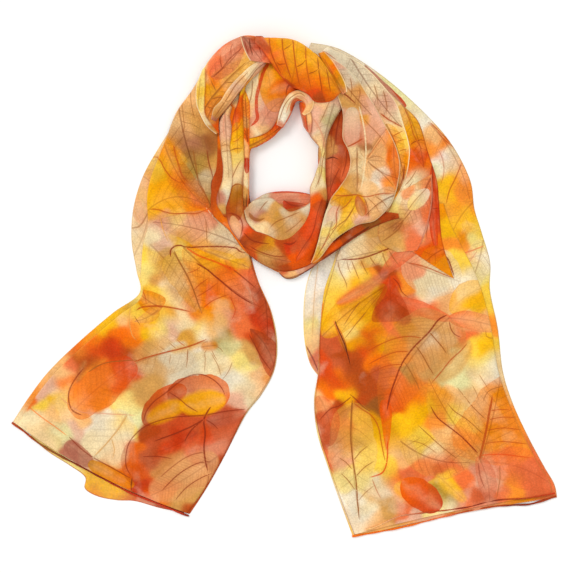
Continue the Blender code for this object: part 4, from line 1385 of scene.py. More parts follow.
lay_ply(
    "right_outer_band", "right_tail",
    (
        (44, 209, 77, 230, 8, 11, 7), (61, 187, 103, 203, 7, 10, 6.5),
        (79, 160, 122, 185, 7, 10, 6), (91, 140, 137, 169, 6.5, 10, 6),
        (97, 117, 146, 140, 6.5, 10, 6), (101, 94, 156, 108, 6.5, 10, 6),
        (103, 76, 158, 81, 6.5, 10, 6), (110, 56, 160, 52, 6, 9.5, 6), (125, 40, 165, 31, 6, 9, 6),
        (149, 23, 173, 8, 5, 7, 5),
    ),
    {
        "pale": (89, 211, 12), "cream": (110, 195, 12, 128, 111, 7, 135, 91, 8),
        "peach": (122, 89, 8, 132, 56, 8, 101, 89, 12), "pink": (142, 66, 8),
        "salmon": (149, 105, 6, 144, 50, 7, 116, 62, 8), "bright": (123, 168, 9),
        "gold": (120, 183, 8, 131, 156, 8), "amber": (134, 146, 6, 163, 21, 7, 103, 150, 12),
        "light_orange": (140, 144, 5), "orange": (144, 119, 7, 126, 121, 7, 159, 41, 7),
        "deep_orange": (130, 132, 7, 151, 31, 7),
        "red_orange": (139, 133, 6, 153, 93, 6, 155, 60, 6), "red": (155, 74, 5),
        "tan": (126, 74, 8),
    },
    (
        (120, 187, 142, 121, 13, 4, "ovate", "bright", "red_orange", 0.45, 7, 0.6),
        (151, 99, 126, 37, 14, -4, "ovate", "salmon", "peach", 0.4, 7, 0.7),
        (151, 125, 155, 35, 5, -2, "oval", "red_orange", "red_orange", 0.85, 12, 0.4),
        (126, 79, 147, 99, 8, 0, "oval", "pale_yellow", "pale", 0.9, 20, 0.1),
        (171, 41, 142, 23, 10, -3, "wedge", "orange", "amber", 0.6, 9, 0.6),
    ),
    (
        (122, 181, 151, 89, -4, 5, 2.0), (138, 140, 149, 48, -3, 4, -1.6),
        (116, 99, 138, 37, -4, 5, 1.8),
    ),
    (
        (0.5, "maroon", 0.75, (128, 145, 133, 148, 139, 150, 146, 149)),
        (0.5, "rust", 0.75, (122, 183, 128, 168, 132, 154, 142, 138)),
        (0.6, "maroon", 0.75, (150, 80, 155, 80, 159, 79)),
        (0.6, "maroon", 0.6, (151, 126, 151, 109, 150, 82, 146, 62, 144, 48)),
        (0.4, "brown", 0.75, (122, 103, 128, 109, 136, 121), (120, 93, 126, 101, 132, 109)),
    ),
    seed=5.1, edges=(("rust", 0.4), ("maroon", 0.6)), ends=(8.0, 0.0),
)

lay_ply(
    "right_rose_band", "right_tail",
    (
        (112, 93, 150, 115, 7, 10, 7), (108, 80, 151, 99, 7, 10, 7), (101, 70, 150, 83, 7, 10, 7),
        (95, 58, 147, 67, 7, 10, 7), (99, 44, 142, 51, 7, 9, 7), (114, 35, 135, 37, 6, 8, 6),
    ),
    {
        "cream": (120, 93, 8, 135, 89, 8), "pink": (138, 58, 7),
        "salmon": (145, 84, 6, 126, 60, 8, 130, 44, 8), "coral": (142, 105, 7, 142, 72, 7),
        "pale_yellow": (130, 107, 8, 112, 78, 8), "brown": (112, 66, 8),
        "tan": (103, 60, 8, 112, 50, 8), "ochre": (126, 74, 8),
    },
    (
        (149, 111, 110, 56, 16, 3, "ovate", "salmon", "peach", 0.3, 6, 0.8),
        (120, 89, 131, 107, 6, 0, "blur", "orange", "light_orange", 0.7, 20, 0.1),
        (126, 79, 147, 99, 8, 0, "oval", "pale_yellow", "pale", 0.92, 20, 0.1),
        (120, 70, 89, 52, 8, 2, "blur", "rust", "tan", 0.4, 8, 0.4),
    ),
    ((144, 105, 122, 44, -4, 5, 2.0), (122, 93, 114, 48, 3, 4, -1.4)),
    (
        (0.6, "brown", 0.75, (120, 69, 117, 60, 108, 52, 97, 45)),
        (0.4, "brown", 0.6, (147, 103, 132, 87, 120, 70)),
        (0.5, "mauve", 0.75, (149, 113, 150, 89, 145, 64, 138, 44)),
    ),
    seed=5.7, edges=(("rust", 0.3), ("mauve", 0.5)), lips=(0.0, 2.6), ends=(3.0, 0.0),
)

lay_ply(
    "right_inner_band", "right_tail",
    (
        (30, 234, 43, 246, 10, 13, 8), (38, 219, 66, 235, 10, 13, 8),
        (46, 207, 85, 222, 10, 13, 8), (58, 187, 101, 205, 10, 13, 8),
        (69, 168, 114, 187, 10, 13, 8), (75, 152, 121, 166, 10, 13, 8),
        (81, 134, 127, 144, 10, 13, 8), (87, 119, 127, 129, 10, 12.5, 8),
        (95, 105, 124, 113, 10, 12, 8), (103, 93, 118, 98, 9, 11, 8), (105, 84, 112, 89, 8, 9, 7),
    ),
    {
        "pale": (38, 240, 8), "cream": (93, 205, 9, 109, 172, 8, 117, 164, 6),
        "grey_cream": (52, 236, 9, 69, 228, 9, 83, 215, 9), "pink": (101, 195, 8, 105, 183, 8),
        "butter": (120, 148, 7), "yellow": (111, 158, 7, 116, 138, 7),
        "amber": (122, 129, 6, 116, 117, 7), "orange": (101, 154, 10), "brown": (120, 109, 5),
        "tan": (97, 176, 8),
    },
    (
        (66, 236, 120, 162, 15, -3, "ovate", "grey_cream", "pink", 0.25, 8, 0.85),
        (103, 166, 122, 107, 9, 3, "ovate", "yellow", "amber", 0.5, 7, 0.8),
    ),
    ((56, 232, 118, 140, -4, 5, 1.6),),
    (
        (0.5, "brown", 0.75,
            (100, 201, 102, 193, 104, 183, 103, 174), (91, 207, 94, 195, 95, 183),
        ),
        (0.8, "rust", 0.9, (97, 177, 105, 171, 114, 166, 121, 162)),
        (0.5, "rust", 0.75,
            (109, 153, 116, 157, 123, 160), (114, 148, 120, 150, 126, 150),
            (116, 138, 122, 140, 127, 140),
        ),
        (0.8, "maroon", 0.75, (122, 125, 121, 113, 117, 101)),
        (0.4, "rust", 0.75, (24, 246, 35, 243, 44, 237, 54, 230)),
    ),
    seed=6.3, edges=(("cream", 0.5), ("cream", 0.85)), ends=(9.0, 0.0),
)


# Loop, inner parts: the wide ply that turns down the left of the neck opening with a
# fold rimming the opening's top, and a rust ply that lies deep on the opening's right.
lay_ply(
    "loop_left_ply", "loop_left",
    (
        (-24, 235, 20, 209, 11, 13, 9), (-42, 213, 12, 192, 11, 14, 8),
        (-58, 192, 5, 175, 11, 14, 6), (-67, 171, -4, 162, 11, 14, 5),
        (-69, 156, -18, 151, 11, 14, 5), (-69, 141, -34, 143, 11, 13, 5),
        (-70, 122, -37, 122, 11, 13, 5), (-74, 102, -37, 99, 11, 13, 5),
        (-76, 87, -34, 83, 11, 13, 5), (-73, 71, -24, 68, 9, 11, 5),
    ),
    {
        "cream": (-34, 211, 6, -34, 197, 5, -34, 157, 6), "peach": (-35, 185, 5, -21, 158, 6),
        "pink": (-21, 183, 6, -24, 166, 6), "rose": (-36, 172, 4, -15, 172, 7, -9, 185, 6),
        "amber": (-17, 207, 7, -7, 199, 8, -42, 140, 8), "orange": (3, 193, 5, -46, 160, 8),
        "red": (5, 207, 5), "rust": (-50, 109, 12, -46, 88, 12),
    },
    (
        (-8, 178, -18, 230, 12, 2, "blunt", "amber", "bright", 0.75, 8, 0.3),
        (-19, 193, 13, 207, 9, 2, "blur", "amber", "red_orange", 0.85, 8, 0.2),
        (-24, 164, -1, 191, 8, 3, "oval", "pink", "rose", 0.5, 7, 0.4),
    ),
    (
        (-24, 230, -28, 166, -3, 3, 1.6), (-13, 221, -9, 164, 4, 5, 2.2),
        (-32, 207, -34, 158, 2, 3, -1.8),
    ),
    (
        (2.1, "red", 0.9,
            (-16, 229, -22, 219, -26, 205, -29, 193, -29, 180, -28, 172, -31, 167, -37, 162),
        ),
        (0.5, "brown", 0.75, (-33, 211, -34, 197, -37, 183, -36, 170)),
        (0.9, "maroon", 0.75, (11, 213, 6, 208, 2, 201, 1, 192)),
        (0.5, "rose", 0.75, (-21, 187, -19, 176, -21, 166)),
    ),
    seed=7.1, lips=(2.0, 2.6), ends=(6.0, 0.0),
)

lay_ply(
    "opening_rim_fold", "loop_left",
    (
        (-38.8, 150.7, -37.8, 139.5, 10, 11, 6), (-29.6, 152.8, -27.1, 144.1, 10, 11, 6),
        (-20.4, 156.3, -17.4, 149.2, 10, 11, 6), (-13.3, 162, -9.7, 155.3, 10, 12, 6),
        (-8.2, 170.1, -2.5, 164, 10, 13, 7), (-5.1, 178.3, 1, 173.2, 10, 13, 8),
    ),
    {
        "yellow": (-37, 146, 5), "amber": (-29, 148, 4, -3, 170, 4),
        "orange": (-20, 152, 4, -13, 157, 4), "red_orange": (-9, 162, 4),
    },
    ((-40, 142, -1, 166, 6, -2, "oval", "bright", "red_orange", 0.3, 4, 0.7),),
    lines=((0.7, "red", 0.9, (-31, 152, -19, 159, -11, 164, -3, 166)),),
    seed=7.6, edges=(("maroon", 0.6), ("red_orange", 0.7)), lips=(1.5, 2.0), unevenness=0.2,
)

lay_ply(
    "loop_right_inner_ply", "loop_right",
    (
        (42, 185, 67, 183, 8, 10, 9), (38, 170, 64, 170, 8, 10, 9), (36, 155, 67, 155, 8, 10, 9),
        (34, 140, 73, 140, 8, 10, 9), (34, 124, 73, 123, 8, 10, 9), (34, 109, 67, 107, 8, 10, 9),
        (36, 94, 53, 96, 8, 10, 9), (38, 82, 47, 84, 9, 10, 9), (40, 74, 44, 76, 9, 10, 9),
    ),
    {
        "salmon": (50, 123, 6, 61, 117, 6), "red_orange": (46, 99, 5),
        "rust": (54, 179, 6, 55, 164, 6, 54, 150, 6, 62, 129, 6, 50, 111, 6), "brown": (43, 81, 4),
        "tan": (45, 150, 4, 46, 138, 4), "mauve": (53, 136, 4),
    },
    ((58, 185, 46, 82, 11, -3, "blunt", "rust", "rust", 0.4, 10, 0.5),),
    lines=(
        (0.8, "dark", 0.9, (42, 130, 49, 132, 57, 129)),
        (0.5, "maroon", 0.75, (57, 179, 53, 160, 52, 142), (63, 140, 62, 125, 57, 109)),
        (0.4, "maroon", 0.75, (56, 121, 50, 109, 45, 93), (50, 170, 47, 154, 48, 140)),
    ),
    seed=13.6, edges=(("maroon", 0.5), ("maroon", 0.5)), unevenness=0.2, lips=(1.5, 1.5),
)


# Loop, front: the ply that sags into a small pouch at the front of the opening. Its back
# rim is turned up in a red roll.
lay_ply(
    "loop_front_back_ply", "loop_front",
    (
        (-65, 129, -37, 125, 12, 15, 8), (-74, 109, -37, 107, 12, 15, 8),
        (-75, 92, -37, 91, 12, 15, 8), (-74, 74, -37, 83, 11, 14, 9),
        (-58, 58, -30, 90, 10, 12, 9), (-42, 37, -19, 96, 8, 11, 9), (-23, 23, -5, 98, 6, 11, 9),
        (-2, 13, 6, 98, 4, 11, 9), (15, 15, 17, 97, 4, 11, 9), (34, 25, 27, 95, 6, 12, 9),
        (48, 39, 36, 95, 9, 12, 9),
    ),
    {
        "grey_cream": (-17, 94, 5), "pink": (-28, 91, 5),
        "rose": (-37, 88, 5, -9, 95, 4, 1, 90, 6, 15, 90, 6), "salmon": (24, 90, 4),
        "orange": (-46, 74, 14), "red_orange": (26, 48, 16), "rust": (-66, 99, 14, 7, 80, 6),
        "tan": (-1, 58, 14),
    },
    (
        (-9, 88, 28, 89, 5, 0, "blunt", "rose", "rose", 0.7, 10, 0.3),
        (24, 84, -2, 83, 5, 0, "cut", "rust", "red", 0.9, 12, 0.2),
    ),
    lines=(
        (1.3, "red", 0.9, (-14, 96, -4, 97, 6, 97, 18, 96, 26, 94)),
        (0.8, "red", 0.9, (-38, 83, -36, 88, -31, 91, -22, 94)),
        (0.6, "maroon", 0.75, (-2, 89, 7, 83, 22, 82)),
    ),
    seed=10.1, edges=(("rust", 0.4), ("red", 0.7)),
)

lay_ply(
    "pouch_ply", "loop_front",
    (
        (-41.8, 77, -36.7, 84.1, 16, 16, 12), (-38.7, 64.7, -31.6, 88.2, 17, 15, 12),
        (-31.6, 56.6, -22.4, 90.7, 18, 14, 12), (-21.4, 48.4, -13.2, 90.2, 18, 13, 11),
        (-9.2, 43.3, -3, 82.1, 19, 13, 10), (5.1, 45.4, 5.1, 76.5, 19, 13, 10),
        (17.3, 51.5, 16.3, 80, 18, 14, 11), (25.5, 61.7, 23.5, 84.1, 17, 14, 11),
        (30.6, 76, 27.5, 88.2, 16, 14, 12),
    ),
    {
        "cream": (-39, 70, 4, -33, 61, 4, -22, 56, 4),
        "grey_cream": (-15, 54, 4, -28, 85, 6, -19, 85, 6, 5, 68, 6, 21, 80, 5),
        "tan": (-36, 82, 5, -21, 70, 4, -13, 75, 6, 3, 56, 6, 15, 72, 6, -3, 76, 5),
        # the mauve here is painted shade in the pouch's dark hollow
        "ochre": (-7, 64, 6, -9, 56, 4), "mauve": (-30, 75, 7),
    },
    ((13, 80, -19, 51, 13, 3, "blur", "grey_cream", "tan", 0.3, 5, 0.3),),
    ((-34, 82, 1, 66, 4, 4, -1.6), (-23, 88, 19, 72, -3, 4, 1.6)),
    (
        # the broad brown line is a painted shadow along the hollow
        (2.2, "brown", 0.75, (-37, 76, -33, 70, -26, 68, -19, 71)),
        (0.5, "brown", 0.75, (-17, 88, -23, 82, -28, 74), (15, 76, 3, 71, -9, 66, -17, 58)),
        (0.5, "brown", 0.6, (19, 70, 9, 61, -3, 53)),
    ),
    seed=10.8, edges=(("cream", 0.7), ("brown", 0.4)), lips=(2.0, 2.0), unevenness=0.3,
    hollow=(-22, 72, 26, 17, 4.0),
)

lay_ply(
    "front_lower_lip", "loop_front",
    (
        (-11.3, 23.1, -8.2, 16.9, 5, 6, 3), (-4.1, 23.1, -1, 8.7, 6, 8, 3),
        (6.2, 24.1, 9.2, 8.2, 6, 8, 3), (17.4, 27.2, 21.5, 14.9, 6, 8, 3),
        (27.7, 30.2, 30.8, 21, 6, 8, 3), (32.8, 32.3, 35.9, 26.1, 5, 6, 3),
    ),
    {
        "peach": (-6, 15, 5, 7, 13, 5), "pink": (17, 17, 5), "rose": (27, 23, 4),
        "red": (1, 16, 4), "brown": (33, 27, 4),
    },
    lines=((0.6, "maroon", 0.75, (-7, 15, 0, 9, 9, 10, 22, 16, 34, 25)),),
    seed=12.2, edges=(("maroon", 0.5), ("dark", 0.8)), lips=(1.2, 1.6), unevenness=0.1,
)


# Loop, opening edge: two narrow folds down the loop's left side and, over them, one long
# ply that runs down that side, round the front in a collar and up inside the right.
lay_ply(
    "loop_left_outer_fold", "loop_left",
    (
        (-57.1, 186.1, -54, 183, 12, 14, 12), (-64.2, 175.9, -56.1, 173.8, 13, 16, 13),
        (-67.8, 167.2, -55, 166.2, 13, 16, 13), (-67.3, 156.5, -53.5, 156.5, 13, 16, 13),
        (-65.8, 143.7, -54, 143.3, 13, 16, 13), (-64.9, 134.1, -53, 134.1, 13, 16, 13),
        (-63.2, 121.8, -53, 121.8, 13, 16, 13), (-64.2, 107.6, -53, 107.6, 13, 16, 13),
        (-69.3, 93.3, -54, 93.3, 13, 16, 13), (-69.3, 83.1, -55.6, 84.1, 13, 16, 13),
        (-65.2, 76, -57.6, 77, 12, 15, 12), (-61.7, 70.4, -58.6, 70.9, 12, 13, 12),
    ),
    {
        "cream": (-59, 135, 5, -58, 121, 5, -57, 107, 5), "grey_cream": (-59, 92, 5),
        "peach": (-57, 182, 5, -60, 147, 5), "pink": (-62, 172, 5, -61, 160, 5),
        # the tan and mauve on its left side, between y 82 and 111, are painted shade beside the
        # fold
        "rust": (-61, 74, 4), "tan": (-65, 105, 3.5, -62, 82, 4), "mauve": (-67, 92, 4),
    },
    ((-62, 186, -57, 109, 8, 0, "ovate", "cream", "cream", 0.2, 11, 0.6),),
    lines=(
        (0.5, "brown", 0.75, (-66, 143, -60, 144, -54, 142), (-65, 137, -59, 138, -53, 137)),
        # the broad brown line down its left side is painted shade
        (1.1, "brown", 0.6, (-67, 111, -68, 100, -67, 90, -66, 82)),
        (0.4, "rose", 0.75, (-60, 178, -63, 164, -61, 149)),
    ),
    seed=8.2, edges=(("maroon", 0.5), ("rust", 0.4)), lips=(2.4, 2.4), unevenness=0.3,
)

lay_ply(
    "loop_left_inner_fold", "loop_left",
    (
        (-43.4, 202.5, -41.3, 202, 12, 13, 12), (-45.4, 195.4, -38.3, 194.4, 12, 15, 10),
        (-45.9, 187.2, -36.2, 187.2, 12, 15, 10), (-43.9, 178.1, -35.7, 178.1, 12, 14.5, 9),
        (-43.3, 162.8, -36.1, 162.8, 12, 14, 8), (-42.8, 144.4, -36.3, 144.4, 12, 14, 7),
        (-42.8, 124, -36.3, 124, 12, 14, 7), (-43.3, 98.5, -36.7, 98.5, 12, 14, 7),
        (-43.9, 83.2, -37.7, 81.1, 12, 14, 8),
    ),
    {
        "cream": (-39, 109, 4), "peach": (-39, 139, 3.5), "yellow": (-41, 192, 4),
        "light_orange": (-40, 180, 4), "orange": (-40, 152, 4), "red": (-39, 123, 3.5),
        "brown": (-40, 83, 4), "tan": (-40, 166, 4, -39, 94, 4),
    },
    (
        (-38, 147, -41, 201, 6, 0, "oval", "light_orange", "orange", 0.3, 3.5, 0.85),
        (-39, 131, -39, 115, 3, 0, "oval", "red", "red", 0.9, 12, 0.1),
    ),
    lines=(
        (0.5, "dark", 0.75, (-39, 95, -39, 85, -40, 76)),
        (0.5, "maroon", 0.75, (-38, 147, -40, 156, -42, 162)),
    ),
    seed=9.4, edges=(("maroon", 0.6), ("red_orange", 0.5)), lips=(1.6, 1.8), unevenness=0.2,
)

lay_ply(
    "opening_edge_ply", "loop_left loop_front loop_right",
    (
        (-45.8, 208.2, -38.7, 208.2, 14, 17, 14), (-47.8, 189.9, -42.9, 190.4, 14, 18, 15),
        (-51.9, 177.7, -42.7, 177.7, 14, 18, 15), (-54.1, 165.5, -42.3, 165.5, 14, 18, 15),
        (-55, 153.2, -42.2, 153.2, 14, 18, 15), (-56.2, 142, -41.7, 142, 14, 18, 15),
        (-54.7, 130.8, -41.4, 130.8, 14, 18, 15), (-53.9, 116.6, -42.2, 116.6, 14, 18, 15),
        (-54.1, 104.4, -43.3, 104.4, 14, 18, 15), (-57, 91.1, -42.7, 91.1, 14, 18, 15),
        (-60.1, 79.9, -42.7, 78.9, 13, 18, 16), (-59, 68.7, -40.7, 69.7, 12, 19, 18),
        (-55, 57.5, -36.6, 62.6, 12, 20, 19), (-46.8, 46.3, -31, 57, 10, 20, 19),
        (-37.7, 34.1, -23.4, 54.5, 8, 20, 20), (-27, 24.9, -15.3, 51.4, 7, 20, 20),
        (-15.3, 18.8, -6.1, 47.3, 6, 20, 20), (-1, 15.3, 4.1, 49.4, 6, 20, 20),
        (14.3, 17.8, 13.3, 57, 6, 20, 20), (28.5, 24.9, 20.4, 65.7, 8, 20, 19),
        (35.1, 40.2, 25, 76.9, 10, 20, 18), (38.7, 57.5, 25.5, 90.1, 12, 19, 17),
        (41.8, 75.9, 25.5, 101.3, 13, 19, 16), (43.3, 92.1, 29.5, 111.5, 13, 18, 15),
        (41.8, 107.4, 34.1, 125.2, 13, 18, 15), (41.3, 122.7, 36.5, 136.9, 13, 17, 14),
        (41.8, 135.9, 32.6, 146.1, 13, 17, 14), (42.3, 146.1, 26, 154.3, 13, 17, 13),
        (44.3, 155.3, 22.9, 163.4, 13, 17, 13), (48.6, 166, 21.9, 173.6, 13, 18, 13),
        (54, 175.6, 21.4, 183.8, 14, 19, 14), (60.1, 185.8, 21.4, 194, 14, 20, 14),
        (62.1, 198, 21.4, 204.1, 14, 20, 14),
    ),
    {
        "cream": (-48, 121, 6, -49, 109, 5, 34, 102, 5, 38, 123, 4, 46, 178, 6),
        "grey_cream": (38, 155, 6), "peach": (36, 145, 5, 34, 188, 7),
        "pink": (-50, 60, 6, 29, 161, 5, 32, 174, 6, 50, 194, 8),
        "pale_yellow": (-48, 133, 6, 39, 110, 4, 39, 135, 4), "butter": (-49, 143, 5),
        "yellow": (-42, 202, 6, -46, 165, 6, -49, 153, 6), "orange": (-45, 180, 5, -52, 167, 5),
        "deep_orange": (-48, 190, 6, -32, 35, 6, 13, 31, 7, 24, 37, 6, 32, 88, 5),
        "red_orange": (-52, 178, 5, -40, 58, 5, 25, 55, 6, 31, 72, 6), "red": (5, 42, 3),
        "rust": (-50, 86, 7, -53, 76, 6, -40, 47, 6, -30, 47, 5, -5, 39, 5, -1, 25, 6, 38, 76, 5),
        "brown": (-49, 98, 6), "tan": (-44, 76, 4, -13, 29, 7, 39, 92, 5), "ochre": (-20, 39, 6),
        "grey_green": (44, 165, 6), "brick": (17, 45, 6, 33, 55, 5),
    },
    (
        (-53, 196, -50, 161, 6, 1, "oval", "red_orange", "orange", 0.6, 6, 0.4),
        (-49, 167, -48, 135, 7, 0, "oval", "yellow", "bright", 0.5, 6, 0.5),
        (-48, 105, -50, 66, 8, 0, "blunt", "ochre", "rust", 0.75, 9, 0.3),
        (-46, 49, -54, 72, 5.5, 0, "oval", "pink", "peach", 0.9, 20, 0.1),
        (-50, 45, 7, 25, 13, -3, "ovate", "rust", "tan", 0.3, 6, 0.5),
        (38, 88, 11, 25, 15, 4, "ovate", "deep_orange", "red_orange", 0.3, 8, 0.3),
        (50, 186, 34, 102, 10, -3, "ovate", "grey_cream", "cream", 0.3, 9, 0.6),
    ),
    (
        (-40, 62, 1, 39, -5, 4, 1.8), (-46, 51, 7, 25, -6, 4, -1.6), (5, 43, 34, 72, -4, 5, -1.8),
        (11, 25, 34, 51, -3, 5, 1.6), (34, 163, 52, 190, 3, 5, 1.6),
        (25, 167, 38, 194, 2, 4, -1.4), (38, 106, 32, 68, 1, 3, 1.2),
    ),
    (
        (0.6, "brown", 0.9, (-57, 138, -50, 140, -41, 141)),
        (0.5, "brown", 0.75, (-54, 110, -49, 121, -43, 131), (41, 139, 38, 127, 36, 113, 30, 98)),
        (0.4, "rust", 0.75, (-54, 157, -48, 161, -43, 169), (-54, 147, -48, 149, -43, 155)),
        (0.7, "maroon", 0.75,
            (-55, 101, -49, 104, -43, 103), (-58, 74, -54, 74, -46, 70, -43, 60, -46, 48),
            (-42, 55, -34, 47, -23, 44, -13, 44),
        ),
        (1.2, "maroon", 0.75, (-2, 44, 5, 43, 10, 45, 13, 49)),
        (0.6, "maroon", 0.75, (-36, 41, -25, 35, -11, 31, 3, 31)),
        (0.5, "maroon", 0.6, (38, 90, 33, 74, 28, 55, 18, 39, 10, 25)),
        (0.5, "rose", 0.75, (28, 172, 34, 163, 39, 151, 40, 137)),
        (0.5, "brown", 0.6, (46, 190, 40, 176, 34, 163)),
    ),
    seed=11.5, edges=(("maroon", 0.6), ("rust", 0.5)), lips=(2.4, 2.2), unevenness=0.3,
)


# Loop, right side: a broad outer ply in a long oval over the opening's edge, and below
# it a rust fold turned back where the loop meets the right tail.
lay_ply(
    "rust_fold_back", "loop_right",
    (
        (28.6, 22.5, 27.6, 29.1, 9, 12, 9), (37.8, 26.6, 35.8, 35.3, 9, 12, 9),
        (48, 33.2, 45, 42.4, 9, 12, 9), (61.3, 42.4, 58.3, 54.7, 9, 12, 9),
        (74.6, 51.6, 71.5, 65.9, 9, 12, 9), (88.9, 59.8, 85.8, 72, 9, 12, 9),
        (103.2, 65.9, 100.2, 76.1, 9, 11, 9), (116.5, 70, 115.5, 74.6, 9, 10, 9),
    ),
    {
        "light_orange": (32, 26, 4), "deep_orange": (52, 41, 5),
        "rust": (40, 31, 5, 64, 49, 5, 77, 58, 5, 105, 71, 5), "brown": (91, 65, 5),
    },
    ((36, 25, 113, 72, 7, -3, "oval", "orange", "rust", 0.4, 5, 0.6),),
    lines=((0.9, "dark", 0.75, (87, 62, 80, 57, 69, 50, 61, 44, 54, 38, 46, 33, 36, 27)),),
    seed=12.9, edges=(("maroon", 0.7), ("rust", 0.4)), unevenness=0.25,
)

lay_ply(
    "loop_right_outer_ply", "loop_right",
    (
        (33.6, 228.4, 48.9, 232.5, 13, 15, 13), (39.7, 220.3, 60.8, 224, 14, 18, 14),
        (45.8, 208.1, 73.7, 211.8, 14, 19, 14), (51.9, 195.9, 84, 195.9, 15, 20, 14),
        (56, 185.7, 93.2, 181, 15, 20, 15), (59, 175.5, 101.3, 165.6, 15, 21, 15),
        (58.8, 163.3, 108.9, 152.1, 15, 21, 15), (59, 151.1, 114.5, 138.9, 15, 21, 15),
        (64.6, 138.9, 117.6, 123.6, 15, 21, 15), (66.7, 126.7, 116, 108.4, 15, 21, 15),
        (63.1, 113.4, 113.5, 97.2, 16, 22, 15), (55, 101.2, 108.6, 83.9, 16, 22, 15),
        (47.3, 91.1, 100.4, 74.4, 16, 22, 15), (43.3, 80.9, 90.6, 66.6, 17, 22, 15),
        (39.7, 70.7, 75.3, 63.1, 17, 22, 15), (36.6, 58.5, 62.1, 56, 17, 21, 15),
        (33.1, 44.3, 48.9, 45.8, 16, 19, 14), (29, 31, 36.6, 30, 13, 16, 12),
        (26, 23.9, 29, 24.4, 11, 13, 11),
    ),
    {
        "pale": (97, 114, 6, 101, 86, 6), "cream": (73, 137, 5, 73, 121, 6, 42, 41, 6),
        "grey_cream": (64, 208, 6, 48, 76, 5, 48, 66, 5),
        "peach": (95, 145, 6, 93, 133, 6, 89, 121, 5, 82, 104, 5, 89, 86, 6, 91, 76, 6),
        "pink": (
            44, 228, 6, 54, 218, 6, 82, 189, 6, 67, 169, 7, 91, 169, 6, 89, 157, 6, 76, 72, 5,
        ),
        "rose": (68, 155, 7), "pale_yellow": (46, 53, 6), "butter": (62, 64, 6, 36, 33, 5),
        "yellow": (64, 76, 6), "gold": (82, 171, 3.5, 54, 88, 6, 72, 84, 5),
        "light_orange": (105, 149, 6, 111, 121, 6, 110, 102, 6),
        "orange": (109, 135, 6, 29, 27, 4), "brown": (76, 146, 4),
        "tan": (60, 198, 5, 72, 198, 6, 66, 184, 6, 70, 125, 5, 72, 104, 6, 60, 104, 5),
        "ochre": (56, 78, 5), "brick": (77, 82, 4),
    },
    (
        (42, 232, 89, 173, 11, -2, "ovate", "pink", "tan", 0.25, 7, 0.75),
        (68, 182, 68, 142, 9, 0, "blunt", "grey_cream", "pink", 0.85, 30, 0.1),
        (73, 141, 73, 96, 6, 0, "oval", "cream", "tan", 0.4, 9, 0.6),
        (83, 129, 106, 163, 13, 2, "heart", "peach", "pink", 0.3, 24, 2.6),
        (84, 127, 115, 110, 13, -3, "heart", "cream", "orange", 0.3, 24, 2.7),
        (111, 149, 115, 100, 6, -2, "oval", "light_orange", "deep_orange", 0.5, 8, 0.5),
        (82, 176, 83, 163, 3, 0, "blur", "gold", "gold", 0.7, 20, 0.1),
        (69, 92, 46, 84, 9, -3, "oval", "gold", "bright", 0.55, 6, 0.5),
        (51, 82, 45, 60, 6, 0, "oval", "pink", "grey_cream", 0.85, 20, 0.1),
        (73, 88, 52, 55, 8, 2, "ovate", "butter", "yellow", 0.4, 6, 0.6),
        (73, 92, 79, 71, 5, 0, "oval", "brick", "tan", 0.85, 14, 0.2),
        (115, 94, 82, 72, 12, -3, "heart", "cream", "peach", 0.4, 20, 2.9),
        (48, 66, 30, 27, 8, 2, "ovate", "pale_yellow", "butter", 0.3, 7, 0.7),
    ),
    (
        (50, 224, 115, 133, 10, 4, 1.8), (77, 182, 78, 98, -3, 2.5, 1.8),
        (109, 137, 68, 70, 8, 6, -1.6), (72, 110, 42, 47, -4, 4, 2.0),
        (62, 178, 66, 116, 2, 4, -1.4), (97, 165, 105, 98, 4, 5, 1.6),
        (52, 94, 111, 95, -2, 2.5, -1.2),
    ),
    (
        (0.8, "maroon", 0.9, (53, 202, 60, 196, 66, 191, 73, 184)),
        (0.5, "brown", 0.75,
            (66, 212, 68, 202, 67, 192), (76, 202, 76, 194, 73, 186), (56, 218, 60, 210, 62, 200),
            (70, 80, 62, 68, 52, 60, 42, 45),
        ),
        (0.9, "rust", 0.9, (79, 150, 72, 146, 65, 143, 59, 141)),
        # a painted highlight along the ridge crease
        (0.8, "cream", 0.75, (75, 183, 80, 162, 82, 142, 81, 123, 77, 98)),
        (0.5, "brown", 0.6,
            (80, 170, 86, 163, 95, 154, 103, 143), (85, 125, 95, 118, 104, 109, 112, 100),
        ),
        (0.4, "rust", 0.6, (84, 131, 93, 143, 101, 155)),
        (0.4, "brown", 0.6,
            (83, 129, 93, 132, 101, 129), (74, 139, 73, 125, 74, 108, 72, 94),
            (82, 91, 91, 83, 97, 73),
        ),
        (0.7, "rust", 0.75, (50, 93, 60, 92, 72, 93, 82, 91, 97, 94, 110, 95)),
        (0.4, "brown", 0.75, (91, 92, 99, 86, 105, 79), (80, 90, 84, 80, 85, 68)),
        (0.5, "rust", 0.75, (68, 90, 62, 82, 53, 76), (46, 55, 40, 43, 32, 31)),
        (0.6, "rust", 0.75, (56, 84, 52, 74, 52, 62, 44, 55)),
    ),
    seed=14.3, edges=(("cream", 0.7), ("cream", 0.85)), unevenness=0.35, lips=(2.2, 2.6),
    ends=(6.0, 0.0),
)


# Twist: where the inner edge turns over at the top of the opening, a small roll with
# orange inside its curl, and the red-orange leg that comes down from it.
lay_ply(
    "twist_leg", "twist_roll",
    (
        (14.3, 188.1, 23.5, 187.1, 12, 15, 12), (15.3, 180, 25.5, 180, 12, 16, 12),
        (17.3, 171.8, 27.5, 171.8, 12, 16, 11), (19.4, 163.7, 27.5, 162.6, 11, 14, 10),
        (23.5, 156.5, 26.5, 156.5, 10, 12, 9),
    ),
    {"peach": (23, 174, 5), "rose": (24, 162, 5), "orange": (21, 184, 5)},
    ((23, 153, 16, 190, 3.2, 1, "blunt", "red_orange", "deep_orange", 0.9, 4, 0.3),),
    lines=((0.5, "maroon", 0.75, (21, 182, 22, 172, 23, 160)),),
    seed=15.4, edges=(("pink", 0.6), ("maroon", 0.5)), lips=(1.6, 1.6), unevenness=0.1,
)

